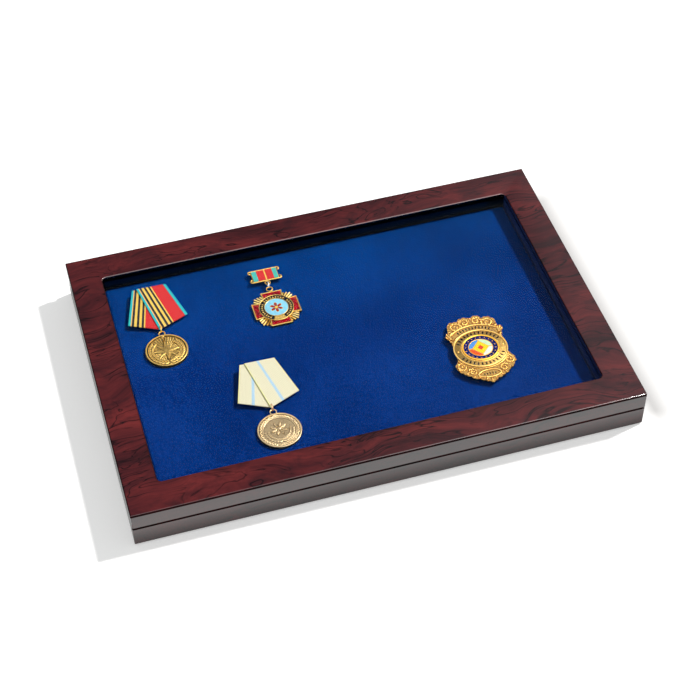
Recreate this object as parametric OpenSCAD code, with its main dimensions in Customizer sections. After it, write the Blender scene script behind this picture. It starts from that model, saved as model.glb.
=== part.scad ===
// Badge display case: hinged lid with a glazed window over a velvet pad.
// Millimetres. +X along the long side, -Y the front, +Z up, origin on the table under the middle.

/* [Case] */
// Width of the case
case_w = 375; // [345:1:430]
// Depth of the case, front to back
case_d = 254; // [238:1:290]
// Width of the four rails around the window
rail_w = 24; // [22.5:0.5:30]
// Rounding of the outer edges
edge_r = 0.9; // [0.5:0.1:1.4]
// Rounding of the window's corners
window_r = 3.5; // [2.5:0.5:8]
// Slope on the window's upper edge
window_ease = 0.6; // [0.2:0.1:1.2]
// Gap between the closed lid and the base
parting_gap = 0.4; // [0.2:0.1:0.8]

/* [Lid] */
// Thickness of the lip over the glass
lip_t = 4; // [3:0.1:6]
// Thickness of the glass
glass_t = 2; // [1.5:0.1:3]
// How far the glass reaches under the lip
glass_lap = 4; // [3:0.1:4.5]
// Width of the frame that holds the glass from below
retainer_w = 9; // [8.5:0.1:10]
// Clear height between the pad and the glass
display_h = 7.2; // [7.2:0.1:14]

/* [Base] */
// Thickness of the bottom board
board_t = 3; // [2.5:0.1:5]
// How far the bottom board reaches under the rails
board_lap = 8; // [5:0.5:12]
// Thickness of the felt feet
foot_t = 1; // [0.8:0.1:3]
// Radius of the felt feet
foot_r = 7; // [5:0.5:9]

/* [Pad] */
// Thickness of the board under the foam
pad_board_t = 2.5; // [2:0.1:4]
// Thickness of the foam
foam_t = 11.9; // [10.5:0.1:20]
// Thickness of the velvet
velvet_t = 0.6; // [0.4:0.1:1]
// How far the pad stands above the base's rim
pad_rise = 1.8; // [0.5:0.1:2.5]
// Gap between the pad and the walls
pad_gap = 0.6; // [0.3:0.1:1.5]
// Width of the hem turned under the pad's board
hem_w = 14; // [8:1:30]
// Rounding of the pad's edges
pad_r = 1.8; // [1.2:0.1:2.2]

/* [Hinges] */
// Distance between the two hinges, middle to middle
hinge_span = 230; // [170:1:260]
// Length of each hinge
hinge_len = 38; // [30:1:55]
// Distance of the hinge axis from the back face
hinge_inset = 4; // [3.6:0.1:5]
// Outer radius of the knuckles
knuckle_r = 2.2; // [1.9:0.1:2.6]
// Radius of the hinge pin
pin_r = 0.8; // [0.6:0.05:1]
// Thickness of the leaves
leaf_t = 1.2; // [1:0.1:1.5]
// Angle of each bevel on the back edges; the lid opens a little less than twice this
bevel_angle = 50; // [45:1:55]
// Shank radius of the hinge screws
hinge_screw_r = 1.1; // [0.9:0.05:1.2]

/* [Magnets] */
// Distance between the two magnets of each pair
magnet_span = 240; // [120:1:280]
// Radius of the magnets
magnet_r = 4; // [3:0.25:4.5]
// Thickness of the magnets
magnet_t = 3; // [2:0.25:3.5]

/* [Medals] */
// Radius of the two round medals
medal_r = 16; // [13:0.5:17]
// Thickness of the round medals
medal_t = 2.5; // [2:0.1:3]
// Width across the shoulders of the folded ribbons
ribbon_w = 45.6; // [38:0.2:48]
// Height of the folded ribbons
ribbon_h = 44; // [42:0.5:48]
// Thickness of one band of ribbon
ribbon_t = 0.8; // [0.6:0.1:1]
// Middle radius of the jump rings
link_r = 2.7; // [2.6:0.05:2.75]
// Wire radius of the jump rings
link_wire = 0.4; // [0.3:0.05:0.45]

/* [Pendant] */
// Width and height of the cross
cross_w = 35.6; // [30:0.2:37]
// Width of an arm of the cross at its end
arm_w = 16.8; // [12:0.2:18]
// Thickness of the cross
cross_t = 2.2; // [1.8:0.1:2.6]
// Width of the ribbon bar
bar_w = 25; // [20:0.5:30]
// Height of the ribbon bar
bar_h = 13.5; // [12:0.5:16]

/* [Badge] */
// Half width of the badge's oval plaque
plaque_a = 20.4; // [19:0.2:22]
// Half height of the badge's oval plaque
plaque_b = 18.6; // [16:0.2:19]
// Thickness of the badge's shield
shield_t = 1.6; // [1.2:0.1:2]
// Height of the badge's back above the pad
badge_lift = 2.6; // [2:0.1:2.7]

/* [Hidden] */
$fn = 48;
fine = 96;
eps = 0.01;

window_w = case_w - 2 * rail_w;
window_d = case_d - 2 * rail_w;

// Heights, from the table upwards
base_z = foot_t;
board_top = base_z + board_t;
pad_board_z = board_top + velvet_t;
foam_z = pad_board_z + pad_board_t;
foam_top = foam_z + foam_t;
pad_top = foam_top + velvet_t;
base_top = pad_top - pad_rise;
lid_z = base_top + parting_gap;
glass_z = pad_top + display_h;
lip_z = glass_z + glass_t;
case_top = lip_z + lip_t;

// Step that widens the parting line
step_h = 0.8;
step_in = 0.8;

// Glass and retainer
glass_gap = 0.5;
retainer_gap = 0.2;
retainer_screw_r = 1;
retainer_head_r = 1.9;
retainer_screw_up = 3.2;
retainer_screw_len = glass_z - lid_z + retainer_screw_up;
retainer_screw_off = (glass_lap + glass_gap + retainer_w) / 2;
retainer_line_x = window_w / 2 + retainer_screw_off;
retainer_line_y = window_d / 2 + retainer_screw_off;
retainer_screw_places = concat(
    [for (i = [-1.5 : 1.5], y = [-1, 1]) [i * window_w / 4, y * retainer_line_y]],
    [for (i = [-0.5, 0.5], x = [-1, 1]) [x * retainer_line_x, i * window_d / 2]]
);

// Hinges
axis_y = case_d / 2 - hinge_inset;
axis_z = base_top + parting_gap / 2;
leaf_edge_gap = 1.7;
leaf_d = rail_w - hinge_inset - retainer_w - leaf_edge_gap;
mortise_gap = 0.15;
knuckle_gap = 0.1;
knuckle_relief = 0.3;
knuckles = 5;
knuckle_len = hinge_len / knuckles;
pin_play = 0.05;
hinge_screw_len = 9;
hinge_screw_head = 2;
hinge_screws_apart = hinge_len * 0.62;
hinge_xs = [-hinge_span / 2, hinge_span / 2];
screw_play = 0.1;

// Magnets: they stand proud of the wood and meet, so the closed lid rests on them
magnet_gap = 0.05;
magnet_meet = 0.05;
magnet_y = -(case_d / 2 - (rail_w - retainer_w) / 2);
base_magnet_z = axis_z - magnet_meet / 2 - magnet_t;
lid_magnet_z = axis_z + magnet_meet / 2;

// Pins that hold the displayed pieces
needle_r = 0.5;
needle_len = 8;
needle_play = 0.03;
post_r = 1.4;

// Jump rings, standing on the pad, and the eyelets that hang in them
link_z = pad_top + link_r + link_wire;
link_play = 0.14;
eyelet_wire = 0.5;
eyelet_r = 2.3;
eyelet_in = 0.6;
eyelet_drop = sqrt(pow(link_r - link_wire - eyelet_wire - link_play, 2) - pow(eyelet_in, 2));
eyelet_z = link_z - eyelet_drop;
eyelet_out = eyelet_r + eyelet_in;

// Folded ribbons, drawn with the tip at the origin
ribbon_shoulder = 10;
ribbon_top_w = 26.2;
ribbon_overlap = 3.5;
ribbon_tip_y = 0.5;
ribbon_tip_w = 2.6;
ribbon_lift = 1.9;
ribbon_roll = 2;
ribbon_hole_play = 0.15;
link_out = link_r + link_wire;
hole_near = sqrt(pow(link_r - link_wire, 2) - pow(link_out - ribbon_lift, 2));
hole_far = sqrt(pow(link_out, 2) - pow(link_out - ribbon_lift - 2 * ribbon_t, 2));
mount_plate_w = 18;
mount_plate_d = 12;
mount_plate_t = 0.8;
mount_below_top = 5;
mount_needles_apart = 12;

// Places of the displayed pieces, from the walls of the window; a ribbon rises towards its top edge
striped_from_left = 33.2;
striped_from_back = 57.5;
striped_rise = 2.4;
striped_turn = 0;
pale_from_left = 93.6;
pale_from_front = 49.7;
pale_rise = 2.8;
pale_turn = 0;
pendant_from_left = 122.3;
pendant_from_back = 59.7;
badge_from_right = 71.7;
badge_from_front = 59.4;
badge_turn = -3;
striped_at = [-window_w / 2 + striped_from_left, window_d / 2 - striped_from_back];
striped_tilt = asin(striped_rise / ribbon_h);
pale_at = [-window_w / 2 + pale_from_left, -window_d / 2 + pale_from_front];
pale_tilt = asin(pale_rise / ribbon_h);
pendant_at = [-window_w / 2 + pendant_from_left, window_d / 2 - pendant_from_back];
badge_at = [window_w / 2 - badge_from_right, -window_d / 2 + badge_from_front];

// Round medals: raised rim, sunk field, raised star and boss
medal_rim_w = 1.1;
medal_field_in = 0.8;
medal_star_t = 0.5;
medal_boss_t = 0.7;
gold_star_r = 10;
pale_star_r = 8.5;

// The ring that a piece hangs from lies this far from the piece's middle
eyelet_over_medal = 1.9;
eyelet_over_cross = 3.4;
neck_w = 2;
neck_len = 1.6;
medal_reach = medal_r + eyelet_over_medal + eyelet_out;
cross_reach = cross_w / 2 + eyelet_over_cross + eyelet_out;
pendant_ring = [pendant_at[0], pendant_at[1] + cross_reach];

// Ribbon bar
bar_t = 1.4;
bar_below_link = 0.4;
bar_z = link_z - bar_below_link;
bar_rail = 1.5;
bar_curl_r = 1.5;
bar_curl_up = 0.4;
bar_plate_in = 2;
bar_plate_t = 0.6;
bar_ribbon_in = 3.2;
bar_ribbon_up = 0.2;
bar_over_ring = 4.4;
lug_r = 1.9;
lug_wire = 0.5;
lug_over_ring = 0.3;
lug_up = 0.6;
bar_low_y = pendant_ring[1] + bar_over_ring;
bar_needles_apart = bar_w * 0.6;

// Cross
ring_band_r = cross_w * 0.375;
centre_r = cross_w * 0.245;
enamel_in = 0.9;
enamel_t = 0.4;
enamel_from_band = 0.3;
rays_reach = cross_w * 0.56;
ray_w = 1.8;
ray_step = 0.9;
ray_low = 0.7;
ray_fall = 0.1;
band_t = 0.5;
band_w = 0.6;
centre_field_t = 0.3;
centre_t = 0.6;

// Badge
badge_z = pad_top + badge_lift;
banner_t = 0.8;
banner_drop = 4;
banner_high = 6.9;
banner_gap = 0.3;
plaque_t = 1.3;
plaque_rim = 1.3;
plaque_in = 0.5;
seal_a = plaque_a * 0.69;
seal_b = plaque_b * 0.69;
seal_t = 1.1;
seal_rim_t = 0.5;
seal_rim_w = 1.2;
badge_posts_apart = 24;
badge_posts = [for (side = [-1, 1]) [side * badge_posts_apart / 2, 0]];
// The badge's outline is drawn for a plaque 20.4 to its side, and grows with it
badge_grow = plaque_a / 20.4;

function turned(p, a) = [p[0] * cos(a) - p[1] * sin(a), p[0] * sin(a) + p[1] * cos(a)];
function needle_pair(at, turn, apart, y) =
    [for (side = [-1, 1]) at + turned([side * apart / 2, y], turn)];
ribbon_mount_y = ribbon_tip_y + ribbon_h - mount_below_top - mount_plate_d / 2;
bar_mount_y = bar_low_y + bar_h / 2 - pendant_ring[1];
needles = concat(
    needle_pair(striped_at, striped_turn, mount_needles_apart, ribbon_mount_y),
    needle_pair(pale_at, pale_turn, mount_needles_apart, ribbon_mount_y),
    needle_pair(pendant_ring, 0, bar_needles_apart, bar_mount_y),
    [for (p = badge_posts) badge_at + turned(p, badge_turn)]
);

// A flat rectangle with round corners
module round_rect(w, d, r) {
    square([w - 2 * r, d], center = true);
    square([w, d - 2 * r], center = true);
    for (x = [-1, 1], y = [-1, 1])
        translate([x * (w / 2 - r), y * (d / 2 - r)])
            circle(r);
}

// A block from z0 to z1 with every edge rounded: the three outlines crossed
module round_block(w, d, z0, z1, r) {
    h = z1 - z0;
    translate([0, 0, z0 + h / 2])
        intersection() {
            linear_extrude(h, center = true)
                round_rect(w, d, r);
            rotate([90, 0, 0])
                linear_extrude(d, center = true)
                    round_rect(w, h, r);
            rotate([90, 0, 90])
                linear_extrude(w, center = true)
                    round_rect(d, h, r);
        }
}

// A window-shaped prism, grown by a margin
module window_prism(margin, z0, z1, r = window_r) {
    translate([0, 0, z0])
        linear_extrude(z1 - z0)
            round_rect(window_w + 2 * margin, window_d + 2 * margin, r);
}

// The slope on the window's upper edge: the window again, growing towards the top
module window_slope(z, c) {
    for (x = [-1, 1], y = [-1, 1])
        translate([x * (window_w / 2 - window_r), y * (window_d / 2 - window_r), z - c])
            cylinder(r1 = window_r, r2 = window_r + 2 * c, h = 2 * c);
    translate([0, 0, z - c]) {
        rotate([90, 0, 0])
            slope_prism(window_w / 2, c, window_d - 2 * window_r);
        rotate([90, 0, 90])
            slope_prism(window_d / 2, c, window_w - 2 * window_r);
    }
}

// Trapezium prism, half as wide as given at its foot, spreading 1 to 1 over a height of 2 c
module slope_prism(half, c, length) {
    linear_extrude(length, center = true)
        polygon([[-half, 0], [half, 0], [half + 2 * c, 2 * c], [-half - 2 * c, 2 * c]]);
}

// A countersunk screw pointing up, with its head's face at the origin
module screw(shank_r, head_r, length) {
    head_h = head_r - shank_r;
    difference() {
        union() {
            cylinder(r1 = head_r, r2 = shank_r, h = head_h);
            cylinder(r = shank_r, h = length);
        }
        for (a = [0, 90])
            rotate(a)
                cube([head_r * 1.3, 0.4, head_h * 0.9], center = true);
    }
}

// The hole that the same screw seats in: its head's cone, and a free hole for its shank
module screw_hole(shank_r, head_r, length) {
    translate([0, 0, -eps]) {
        cylinder(r1 = head_r + eps, r2 = shank_r, h = head_r - shank_r + eps);
        cylinder(r = shank_r + screw_play, h = length + 2 * eps);
    }
}

// Turns a child over about the level line at height z
module upside_down(z) {
    translate([0, 0, z])
        mirror([0, 0, 1])
            children();
}

// Bevel cut behind the hinge axis; up = 1 for the lid, -1 for the base
module back_bevel(z, up) {
    reach = hinge_inset + 1;
    rise = reach * tan(bevel_angle);
    translate([0, axis_y, z])
        rotate([90, 0, 90])
            linear_extrude(case_w + 2, center = true)
                polygon([[0, -up * 1], [0, 0], [reach, up * rise], [reach, -up * 1]]);
}

// Wood cut away for one hinge; up = 1 for the lid, -1 for the base
module hinge_mortise(z, up) {
    length = hinge_len + 2 * mortise_gap;
    translate([-length / 2, axis_y - leaf_d - mortise_gap, up > 0 ? z - 1 : z - leaf_t])
        cube([length, leaf_d + mortise_gap, leaf_t + 1]);
    translate([0, axis_y, axis_z])
        rotate([0, 90, 0])
            cylinder(r = knuckle_r + knuckle_relief, h = length, center = true);
}

function hinge_screw_places(cx) =
    [for (side = [-1, 1])
        [cx + side * hinge_screws_apart / 2, axis_y - leaf_d / 2 - knuckle_r / 2]];

// Narrow step round the front and sides of the base's rim, that widens the parting line to a dark groove
module parting_step() {
    translate([0, 0, base_top - step_h])
        linear_extrude(step_h + 1)
            difference() {
                square([case_w + 2, case_d + 2], center = true);
                translate([0, step_in])
                    square([case_w - 2 * step_in, case_d], center = true);
            }
}

module base_frame() {
    color("#5a2426")
    difference() {
        round_block(case_w, case_d, base_z, base_top, edge_r);
        parting_step();
        window_prism(0, base_z - 1, base_top + 1);
        translate([0, 0, base_z - 1])
            linear_extrude(board_t + 1)
                square([window_w + 2 * board_lap, window_d + 2 * board_lap], center = true);
        back_bevel(base_top, -1);
        for (cx = hinge_xs) {
            translate([cx, 0, 0])
                hinge_mortise(base_top, -1);
            for (p = hinge_screw_places(cx))
                translate([p[0], p[1], base_top - hinge_screw_len])
                    cylinder(r = hinge_screw_r, h = hinge_screw_len);
        }
        for (side = [-1, 1])
            translate([side * magnet_span / 2, magnet_y, base_magnet_z])
                cylinder(r = magnet_r + magnet_gap, h = magnet_t + 1);
    }
}

module base_board() {
    board_gap = 0.2;
    color("#6d5a48")
    translate([0, 0, base_z])
        linear_extrude(board_t)
            square([window_w + 2 * (board_lap - board_gap),
                window_d + 2 * (board_lap - board_gap)], center = true);
}

module foot(x_side, y_side) {
    color("#1b1b1d")
    translate([x_side * (case_w - rail_w) / 2, y_side * (case_d - rail_w) / 2, 0])
        cylinder(r = foot_r, h = foot_t);
}

// Pad: velvet outside, foam and board inside
module pad_block(inset) {
    in = pad_gap + inset;
    intersection() {
        round_block(window_w - 2 * in, window_d - 2 * in,
            board_top + inset, pad_top - inset, pad_r - inset);
        window_prism(-in, base_z, pad_top, max(window_r - in, pad_r - inset));
    }
}

module needle_holes() {
    for (p = needles)
        translate([p[0], p[1], pad_top - needle_len])
            cylinder(r = needle_r + needle_play, h = needle_len + 1);
}

module velvet_cover() {
    open_w = window_w - 2 * (pad_gap + hem_w);
    open_d = window_d - 2 * (pad_gap + hem_w);
    color("#0e3a86")
    difference() {
        pad_block(0);
        pad_block(velvet_t);
        translate([0, 0, board_top])
            cube([open_w, open_d, 4 * velvet_t], center = true);
        needle_holes();
    }
}

module foam_core() {
    color("#8d9093")
    difference() {
        pad_block(velvet_t);
        translate([0, 0, foam_z - 20])
            linear_extrude(20)
                square([case_w, case_d], center = true);
        needle_holes();
    }
}

module pad_board() {
    color("#7b6a55")
    difference() {
        pad_block(velvet_t);
        translate([0, 0, foam_z])
            linear_extrude(40)
                square([case_w, case_d], center = true);
    }
}

module magnet_pair(z) {
    color("#b9bcc0")
    for (side = [-1, 1])
        translate([side * magnet_span / 2, magnet_y, z])
            cylinder(r = magnet_r, h = magnet_t);
}

// One leaf with its own knuckles; up = 1 for the lid's leaf, -1 for the base's
module hinge_leaf(cx, up) {
    plate_z = up > 0 ? lid_z : base_top - leaf_t;
    first = up > 0 ? 1 : 0;
    bore = up > 0 ? pin_r + pin_play : pin_r;
    color("#c9a24a")
    translate([cx, 0, 0])
        difference() {
            union() {
                translate([-hinge_len / 2, axis_y - leaf_d, plate_z])
                    cube([hinge_len, leaf_d - knuckle_r - knuckle_relief, leaf_t]);
                for (i = [first : 2 : knuckles - 1])
                    translate([-hinge_len / 2 + i * knuckle_len + knuckle_gap / 2, axis_y, 0]) {
                        translate([0, -leaf_d / 2, plate_z])
                            cube([knuckle_len - knuckle_gap, leaf_d / 2, leaf_t]);
                        translate([0, 0, axis_z])
                            rotate([0, 90, 0])
                                cylinder(r = knuckle_r, h = knuckle_len - knuckle_gap);
                    }
            }
            translate([0, axis_y, axis_z])
                rotate([0, 90, 0])
                    cylinder(r = bore, h = hinge_len + 2, center = true);
            for (p = hinge_screw_places(0))
                translate([p[0], p[1], 0])
                    if (up > 0)
                        translate([0, 0, lid_z])
                            screw_hole(hinge_screw_r, hinge_screw_head, leaf_t);
                    else
                        upside_down(base_top)
                            screw_hole(hinge_screw_r, hinge_screw_head, leaf_t);
        }
}

module hinge_pin(cx) {
    color("#a8832f")
    translate([cx, axis_y, axis_z])
        rotate([0, 90, 0])
            cylinder(r = pin_r, h = hinge_len - knuckle_gap, center = true);
}

module base_hinge_screws() {
    color("#c9a24a")
    for (cx = hinge_xs, p = hinge_screw_places(cx))
        translate([p[0], p[1], 0])
            upside_down(base_top)
                screw(hinge_screw_r, hinge_screw_head, hinge_screw_len);
}

module lid_hinge_screws() {
    color("#c9a24a")
    for (cx = hinge_xs, p = hinge_screw_places(cx))
        translate([p[0], p[1], lid_z])
            screw(hinge_screw_r, hinge_screw_head, hinge_screw_len);
}

module lid_frame() {
    rabbet = retainer_w + retainer_gap;
    color("#5a2426")
    difference() {
        round_block(case_w, case_d, lid_z, case_top, edge_r);
        window_prism(0, lid_z - 1, case_top + 1);
        window_slope(case_top, window_ease);
        translate([0, 0, lid_z - 1])
            linear_extrude(lip_z - lid_z + 1)
                square([window_w + 2 * (glass_lap + glass_gap),
                    window_d + 2 * (glass_lap + glass_gap)], center = true);
        translate([0, 0, lid_z - 1])
            linear_extrude(glass_z - lid_z + 1)
                square([window_w + 2 * rabbet, window_d + 2 * rabbet], center = true);
        back_bevel(lid_z, 1);
        for (cx = hinge_xs) {
            translate([cx, 0, 0])
                hinge_mortise(lid_z, 1);
            for (p = hinge_screw_places(cx))
                translate([p[0], p[1], lid_z])
                    cylinder(r = hinge_screw_r, h = hinge_screw_len);
        }
        for (p = retainer_screw_places)
            translate([p[0], p[1], glass_z - 1])
                cylinder(r = retainer_screw_r, h = retainer_screw_up + 1);
        for (side = [-1, 1])
            translate([side * magnet_span / 2, magnet_y, lid_magnet_z - 1])
                cylinder(r = magnet_r + magnet_gap, h = magnet_t + 1);
    }
}

module glass_pane() {
    color("#cfe3e6", 0.3)
    translate([0, 0, glass_z])
        linear_extrude(glass_t)
            square([window_w + 2 * glass_lap, window_d + 2 * glass_lap], center = true);
}

module glass_retainer() {
    color("#17171a")
    difference() {
        translate([0, 0, lid_z])
            linear_extrude(glass_z - lid_z)
                square([window_w + 2 * retainer_w, window_d + 2 * retainer_w], center = true);
        window_prism(0, lid_z - 1, glass_z + 1);
        for (p = retainer_screw_places)
            translate([p[0], p[1], lid_z])
                screw_hole(retainer_screw_r, retainer_head_r, glass_z - lid_z);
    }
}

module retainer_screws() {
    color("#4a4a4e")
    for (p = retainer_screw_places)
        translate([p[0], p[1], lid_z])
            screw(retainer_screw_r, retainer_head_r, retainer_screw_len);
}

// Wire ring lying flat
module wire_ring(r, wire) {
    rotate_extrude($fn = fine)
        translate([r, 0])
            circle(wire);
}

// Jump ring standing on the pad, in the plane of the hanging direction
module jump_ring(at, turn) {
    translate([at[0], at[1], link_z])
        rotate([0, 0, turn])
            rotate([0, 90, 0])
                wire_ring(link_r, link_wire);
}

// One band of the folded ribbon, leaning to its side
module ribbon_band(side) {
    shoulder_x = ribbon_w / 2;
    linear_extrude(ribbon_t)
        polygon([
            [-side * ribbon_tip_w / 2, ribbon_tip_y],
            [side * ribbon_tip_w / 2, ribbon_tip_y],
            [side * shoulder_x, ribbon_tip_y + ribbon_shoulder],
            [side * ribbon_top_w / 2, ribbon_tip_y + ribbon_h],
            [-side * (ribbon_top_w / 2 - ribbon_overlap), ribbon_tip_y + ribbon_h]
        ]);
}

// Moves ribbon parts to their place: turned about the ring, tilted up towards the top edge and the left
module ribbon_place(at, turn, tilt) {
    translate([at[0], at[1], pad_top + ribbon_lift])
        rotate([0, 0, turn])
            rotate([tilt, ribbon_roll, 0])
                children();
}

// Folded ribbon: the left band lies behind, the right band in front
module folded_ribbon(at, turn, tilt) {
    ribbon_place(at, turn, tilt)
        difference() {
            union() {
                ribbon_band(-1);
                translate([0, 0, ribbon_t])
                    ribbon_band(1);
            }
            translate([0, (hole_near + hole_far) / 2, -1])
                cylinder(r = (hole_far - hole_near) / 2 + ribbon_hole_play, h = 2 * ribbon_t + 2);
        }
}

// Plate under the ribbon with two posts on the pad and two pins in the foam
module ribbon_mount(at, turn, tilt) {
    post_h = ribbon_lift + ribbon_mount_y * sin(tilt) - mount_plate_t / 2;
    color("#b08a3c") {
        ribbon_place(at, turn, tilt)
            translate([0, ribbon_mount_y, -mount_plate_t / 2])
                cube([mount_plate_w, mount_plate_d, mount_plate_t], center = true);
        for (p = needle_pair(at, turn, mount_needles_apart, ribbon_mount_y)) {
            translate([p[0], p[1], pad_top])
                cylinder(r = post_r, h = post_h);
            translate([p[0], p[1], pad_top - needle_len])
                cylinder(r = needle_r, h = needle_len + 1);
        }
    }
}

// Eyelet of a hanging piece: a flat wire ring below the jump ring, and a neck to the piece
module eyelet(ring_at) {
    translate([ring_at[0], ring_at[1] - eyelet_out, eyelet_z])
        wire_ring(eyelet_r, eyelet_wire);
    neck_y = ring_at[1] - eyelet_out - eyelet_r - neck_len;
    translate([ring_at[0] - neck_w / 2, neck_y, eyelet_z - eyelet_wire])
        cube([neck_w, neck_len, 2 * eyelet_wire]);
}

// Round medal: a disc with a raised rim, a raised star and a boss in the middle
module round_medal(ring_at, points, star_r) {
    c = [ring_at[0], ring_at[1] - medal_reach];
    field_t = medal_t - medal_field_in;
    translate([c[0], c[1], pad_top]) {
        cylinder(r = medal_r, h = field_t, $fn = fine);
        difference() {
            cylinder(r = medal_r, h = medal_t, $fn = fine);
            translate([0, 0, field_t - 1])
                cylinder(r = medal_r - medal_rim_w, h = medal_t, $fn = fine);
        }
        translate([0, 0, field_t - eps])
            linear_extrude(medal_star_t)
                polygon([for (i = [0 : 2 * points - 1])
                    let (r = i % 2 == 0 ? star_r : star_r * 0.45, a = 90 + i * 180 / points)
                    [r * cos(a), r * sin(a)]]);
        cylinder(r = star_r * 0.3, h = field_t + medal_boss_t);
    }
    eyelet(ring_at);
}

// Bar with two rails that curl at their ends, a back plate, a lug and two pins
module pendant_bar() {
    low = bar_low_y;
    cx = pendant_ring[0];
    color("#c39a3e") {
        translate([cx - bar_w / 2 + bar_plate_in, low, bar_z])
            cube([bar_w - 2 * bar_plate_in, bar_h, bar_plate_t]);
        for (side = [0, 1])
            translate([0, low + side * (bar_h - bar_rail), 0]) {
                translate([cx - bar_w / 2, 0, bar_z])
                    cube([bar_w, bar_rail, bar_t]);
                for (x = [-1, 1])
                    translate([cx + x * (bar_w / 2 - bar_curl_r),
                        side * bar_rail + (1 - 2 * side) * bar_curl_r, bar_z])
                        cylinder(r = bar_curl_r, h = bar_t + bar_curl_up);
            }
        translate([cx, pendant_ring[1] + lug_r + lug_over_ring, link_z + lug_up])
            wire_ring(lug_r, lug_wire);
        for (p = needle_pair(pendant_ring, 0, bar_needles_apart, bar_mount_y)) {
            translate([p[0], p[1], pad_top])
                cylinder(r = post_r, h = bar_z - pad_top + bar_plate_t / 2);
            translate([p[0], p[1], pad_top - needle_len])
                cylinder(r = needle_r, h = needle_len + 1);
        }
    }
}

module pendant_bar_ribbon() {
    color("#c8323a")
    translate([pendant_ring[0] - bar_w / 2 + bar_ribbon_in, bar_low_y + bar_rail, bar_z + bar_plate_t])
        cube([bar_w - 2 * bar_ribbon_in, bar_h - 2 * bar_rail, bar_t - bar_plate_t + bar_ribbon_up]);
}

// One arm of the cross, pointing along +Y, flared towards its end
module arm_outline(inset) {
    polygon([
        [-arm_w * 0.36 + inset, 0],
        [arm_w * 0.36 - inset, 0],
        [arm_w / 2 - inset, cross_w / 2 - inset],
        [-arm_w / 2 + inset, cross_w / 2 - inset]
    ]);
}

module pendant_cross() {
    color("#c39a3e") {
        translate([pendant_at[0], pendant_at[1], pad_top]) {
            difference() {
                linear_extrude(cross_t) {
                    for (a = [0 : 90 : 270])
                        rotate(a)
                            arm_outline(0);
                    circle(ring_band_r, $fn = fine);
                }
                translate([0, 0, cross_t - enamel_t])
                    linear_extrude(1)
                        enamel_fields();
            }
            for (a = [45 : 90 : 315], i = [-2 : 2])
                rotate(a + i * 7)
                    translate([0, -ray_w / 2, 0])
                        cube([rays_reach - abs(i) * ray_step, ray_w, cross_t - ray_low - abs(i) * ray_fall]);
            difference() {
                cylinder(r = ring_band_r, h = cross_t + band_t, $fn = fine);
                translate([0, 0, cross_t])
                    cylinder(r = ring_band_r - band_w, h = 2, $fn = fine);
            }
        }
        eyelet(pendant_ring);
    }
}

module enamel_fields() {
    difference() {
        for (a = [0 : 90 : 270])
            rotate(a)
                arm_outline(enamel_in);
        circle(ring_band_r + enamel_from_band, $fn = fine);
    }
}

module pendant_enamel() {
    color("#9c1228")
    translate([pendant_at[0], pendant_at[1], pad_top + cross_t - enamel_t])
        linear_extrude(enamel_t)
            enamel_fields();
}

module pendant_centre() {
    color("#7cc4e4")
    translate([pendant_at[0], pendant_at[1], pad_top + cross_t]) {
        cylinder(r = ring_band_r - band_w, h = centre_field_t, $fn = fine);
        cylinder(r = centre_r, h = centre_t, $fn = fine);
    }
}

// An ellipse made of four arcs that meet on common tangents
module oval(a, b) {
    small = b * b / a * 0.93;
    big = (a * a + b * b - 2 * a * small) / (2 * (b - small));
    intersection() {
        translate([0, big - b])
            circle(big, $fn = fine);
        translate([0, b - big])
            circle(big, $fn = fine);
        union() {
            for (x = [-1, 1])
                translate([x * (a - small), 0])
                    circle(small, $fn = fine);
            square([2 * (a - small), 2 * b], center = true);
        }
    }
}

// Outline of the shield badge: crest lobes, shoulders, and a pointed shield around the plaque
module shield_outline() {
    b = plaque_b / badge_grow;
    scale(badge_grow)
        for (x = [-1, 1]) {
            translate([x * 12.5, b + 5.9])
                circle(6.2);
            translate([x * 4.5, b + 9.4])
                circle(5.4);
            translate([x * 17, 4.6 - b])
                circle(5.5);
            polygon([[0, -b - 14.9], [x * 5, -b - 11.9], [x * 12, -b - 8.4], [x * 20.5, -b - 0.9],
                [x * 20, -10], [x * 18, 0], [x * 19, 10], [x * 22.3, b - 0.8],
                [x * 19, b + 2.4], [x * 14, b + 5.9], [0, b + 11.4]]);
        }
}

module badge_place(z) {
    translate([badge_at[0], badge_at[1], z])
        rotate(badge_turn)
            children();
}

// Curved banner that lies on the shield above the plaque
module banner_outline() {
    difference() {
        intersection() {
            translate([0, -banner_drop])
                circle(plaque_b + banner_drop + banner_high, $fn = fine);
            translate([-plaque_a, plaque_b - banner_drop])
                square([2 * plaque_a, 2 * banner_high]);
        }
        translate([0, -banner_drop])
            circle(plaque_b + banner_drop, $fn = fine);
        oval(plaque_a + banner_gap, plaque_b + banner_gap);
    }
}

module badge_shield() {
    color("#d9a441")
    badge_place(badge_z) {
        linear_extrude(shield_t)
            shield_outline();
        linear_extrude(shield_t + banner_t)
            intersection() {
                shield_outline();
                banner_outline();
            }
    }
}

module badge_plaque() {
    color("#c9932f")
    badge_place(badge_z + shield_t)
        difference() {
            linear_extrude(plaque_t)
                oval(plaque_a, plaque_b);
            translate([0, 0, plaque_t - plaque_in])
                linear_extrude(1)
                    oval(plaque_a - plaque_rim, plaque_b - plaque_rim);
        }
}

module badge_seal() {
    color("#10226e")
    badge_place(badge_z + shield_t + plaque_t - plaque_in)
        difference() {
            linear_extrude(seal_t + seal_rim_t)
                oval(seal_a, seal_b);
            translate([0, 0, seal_t])
                linear_extrude(1)
                    oval(seal_a - seal_rim_w, seal_b - seal_rim_w);
        }
}

module badge_pins() {
    color("#b08a3c")
    for (p = badge_posts)
        badge_place(0)
            translate([p[0], p[1], 0]) {
                translate([0, 0, pad_top])
                    cylinder(r = post_r, h = badge_lift);
                translate([0, 0, pad_top - needle_len])
                    cylinder(r = needle_r, h = needle_len + badge_lift);
            }
}

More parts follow.
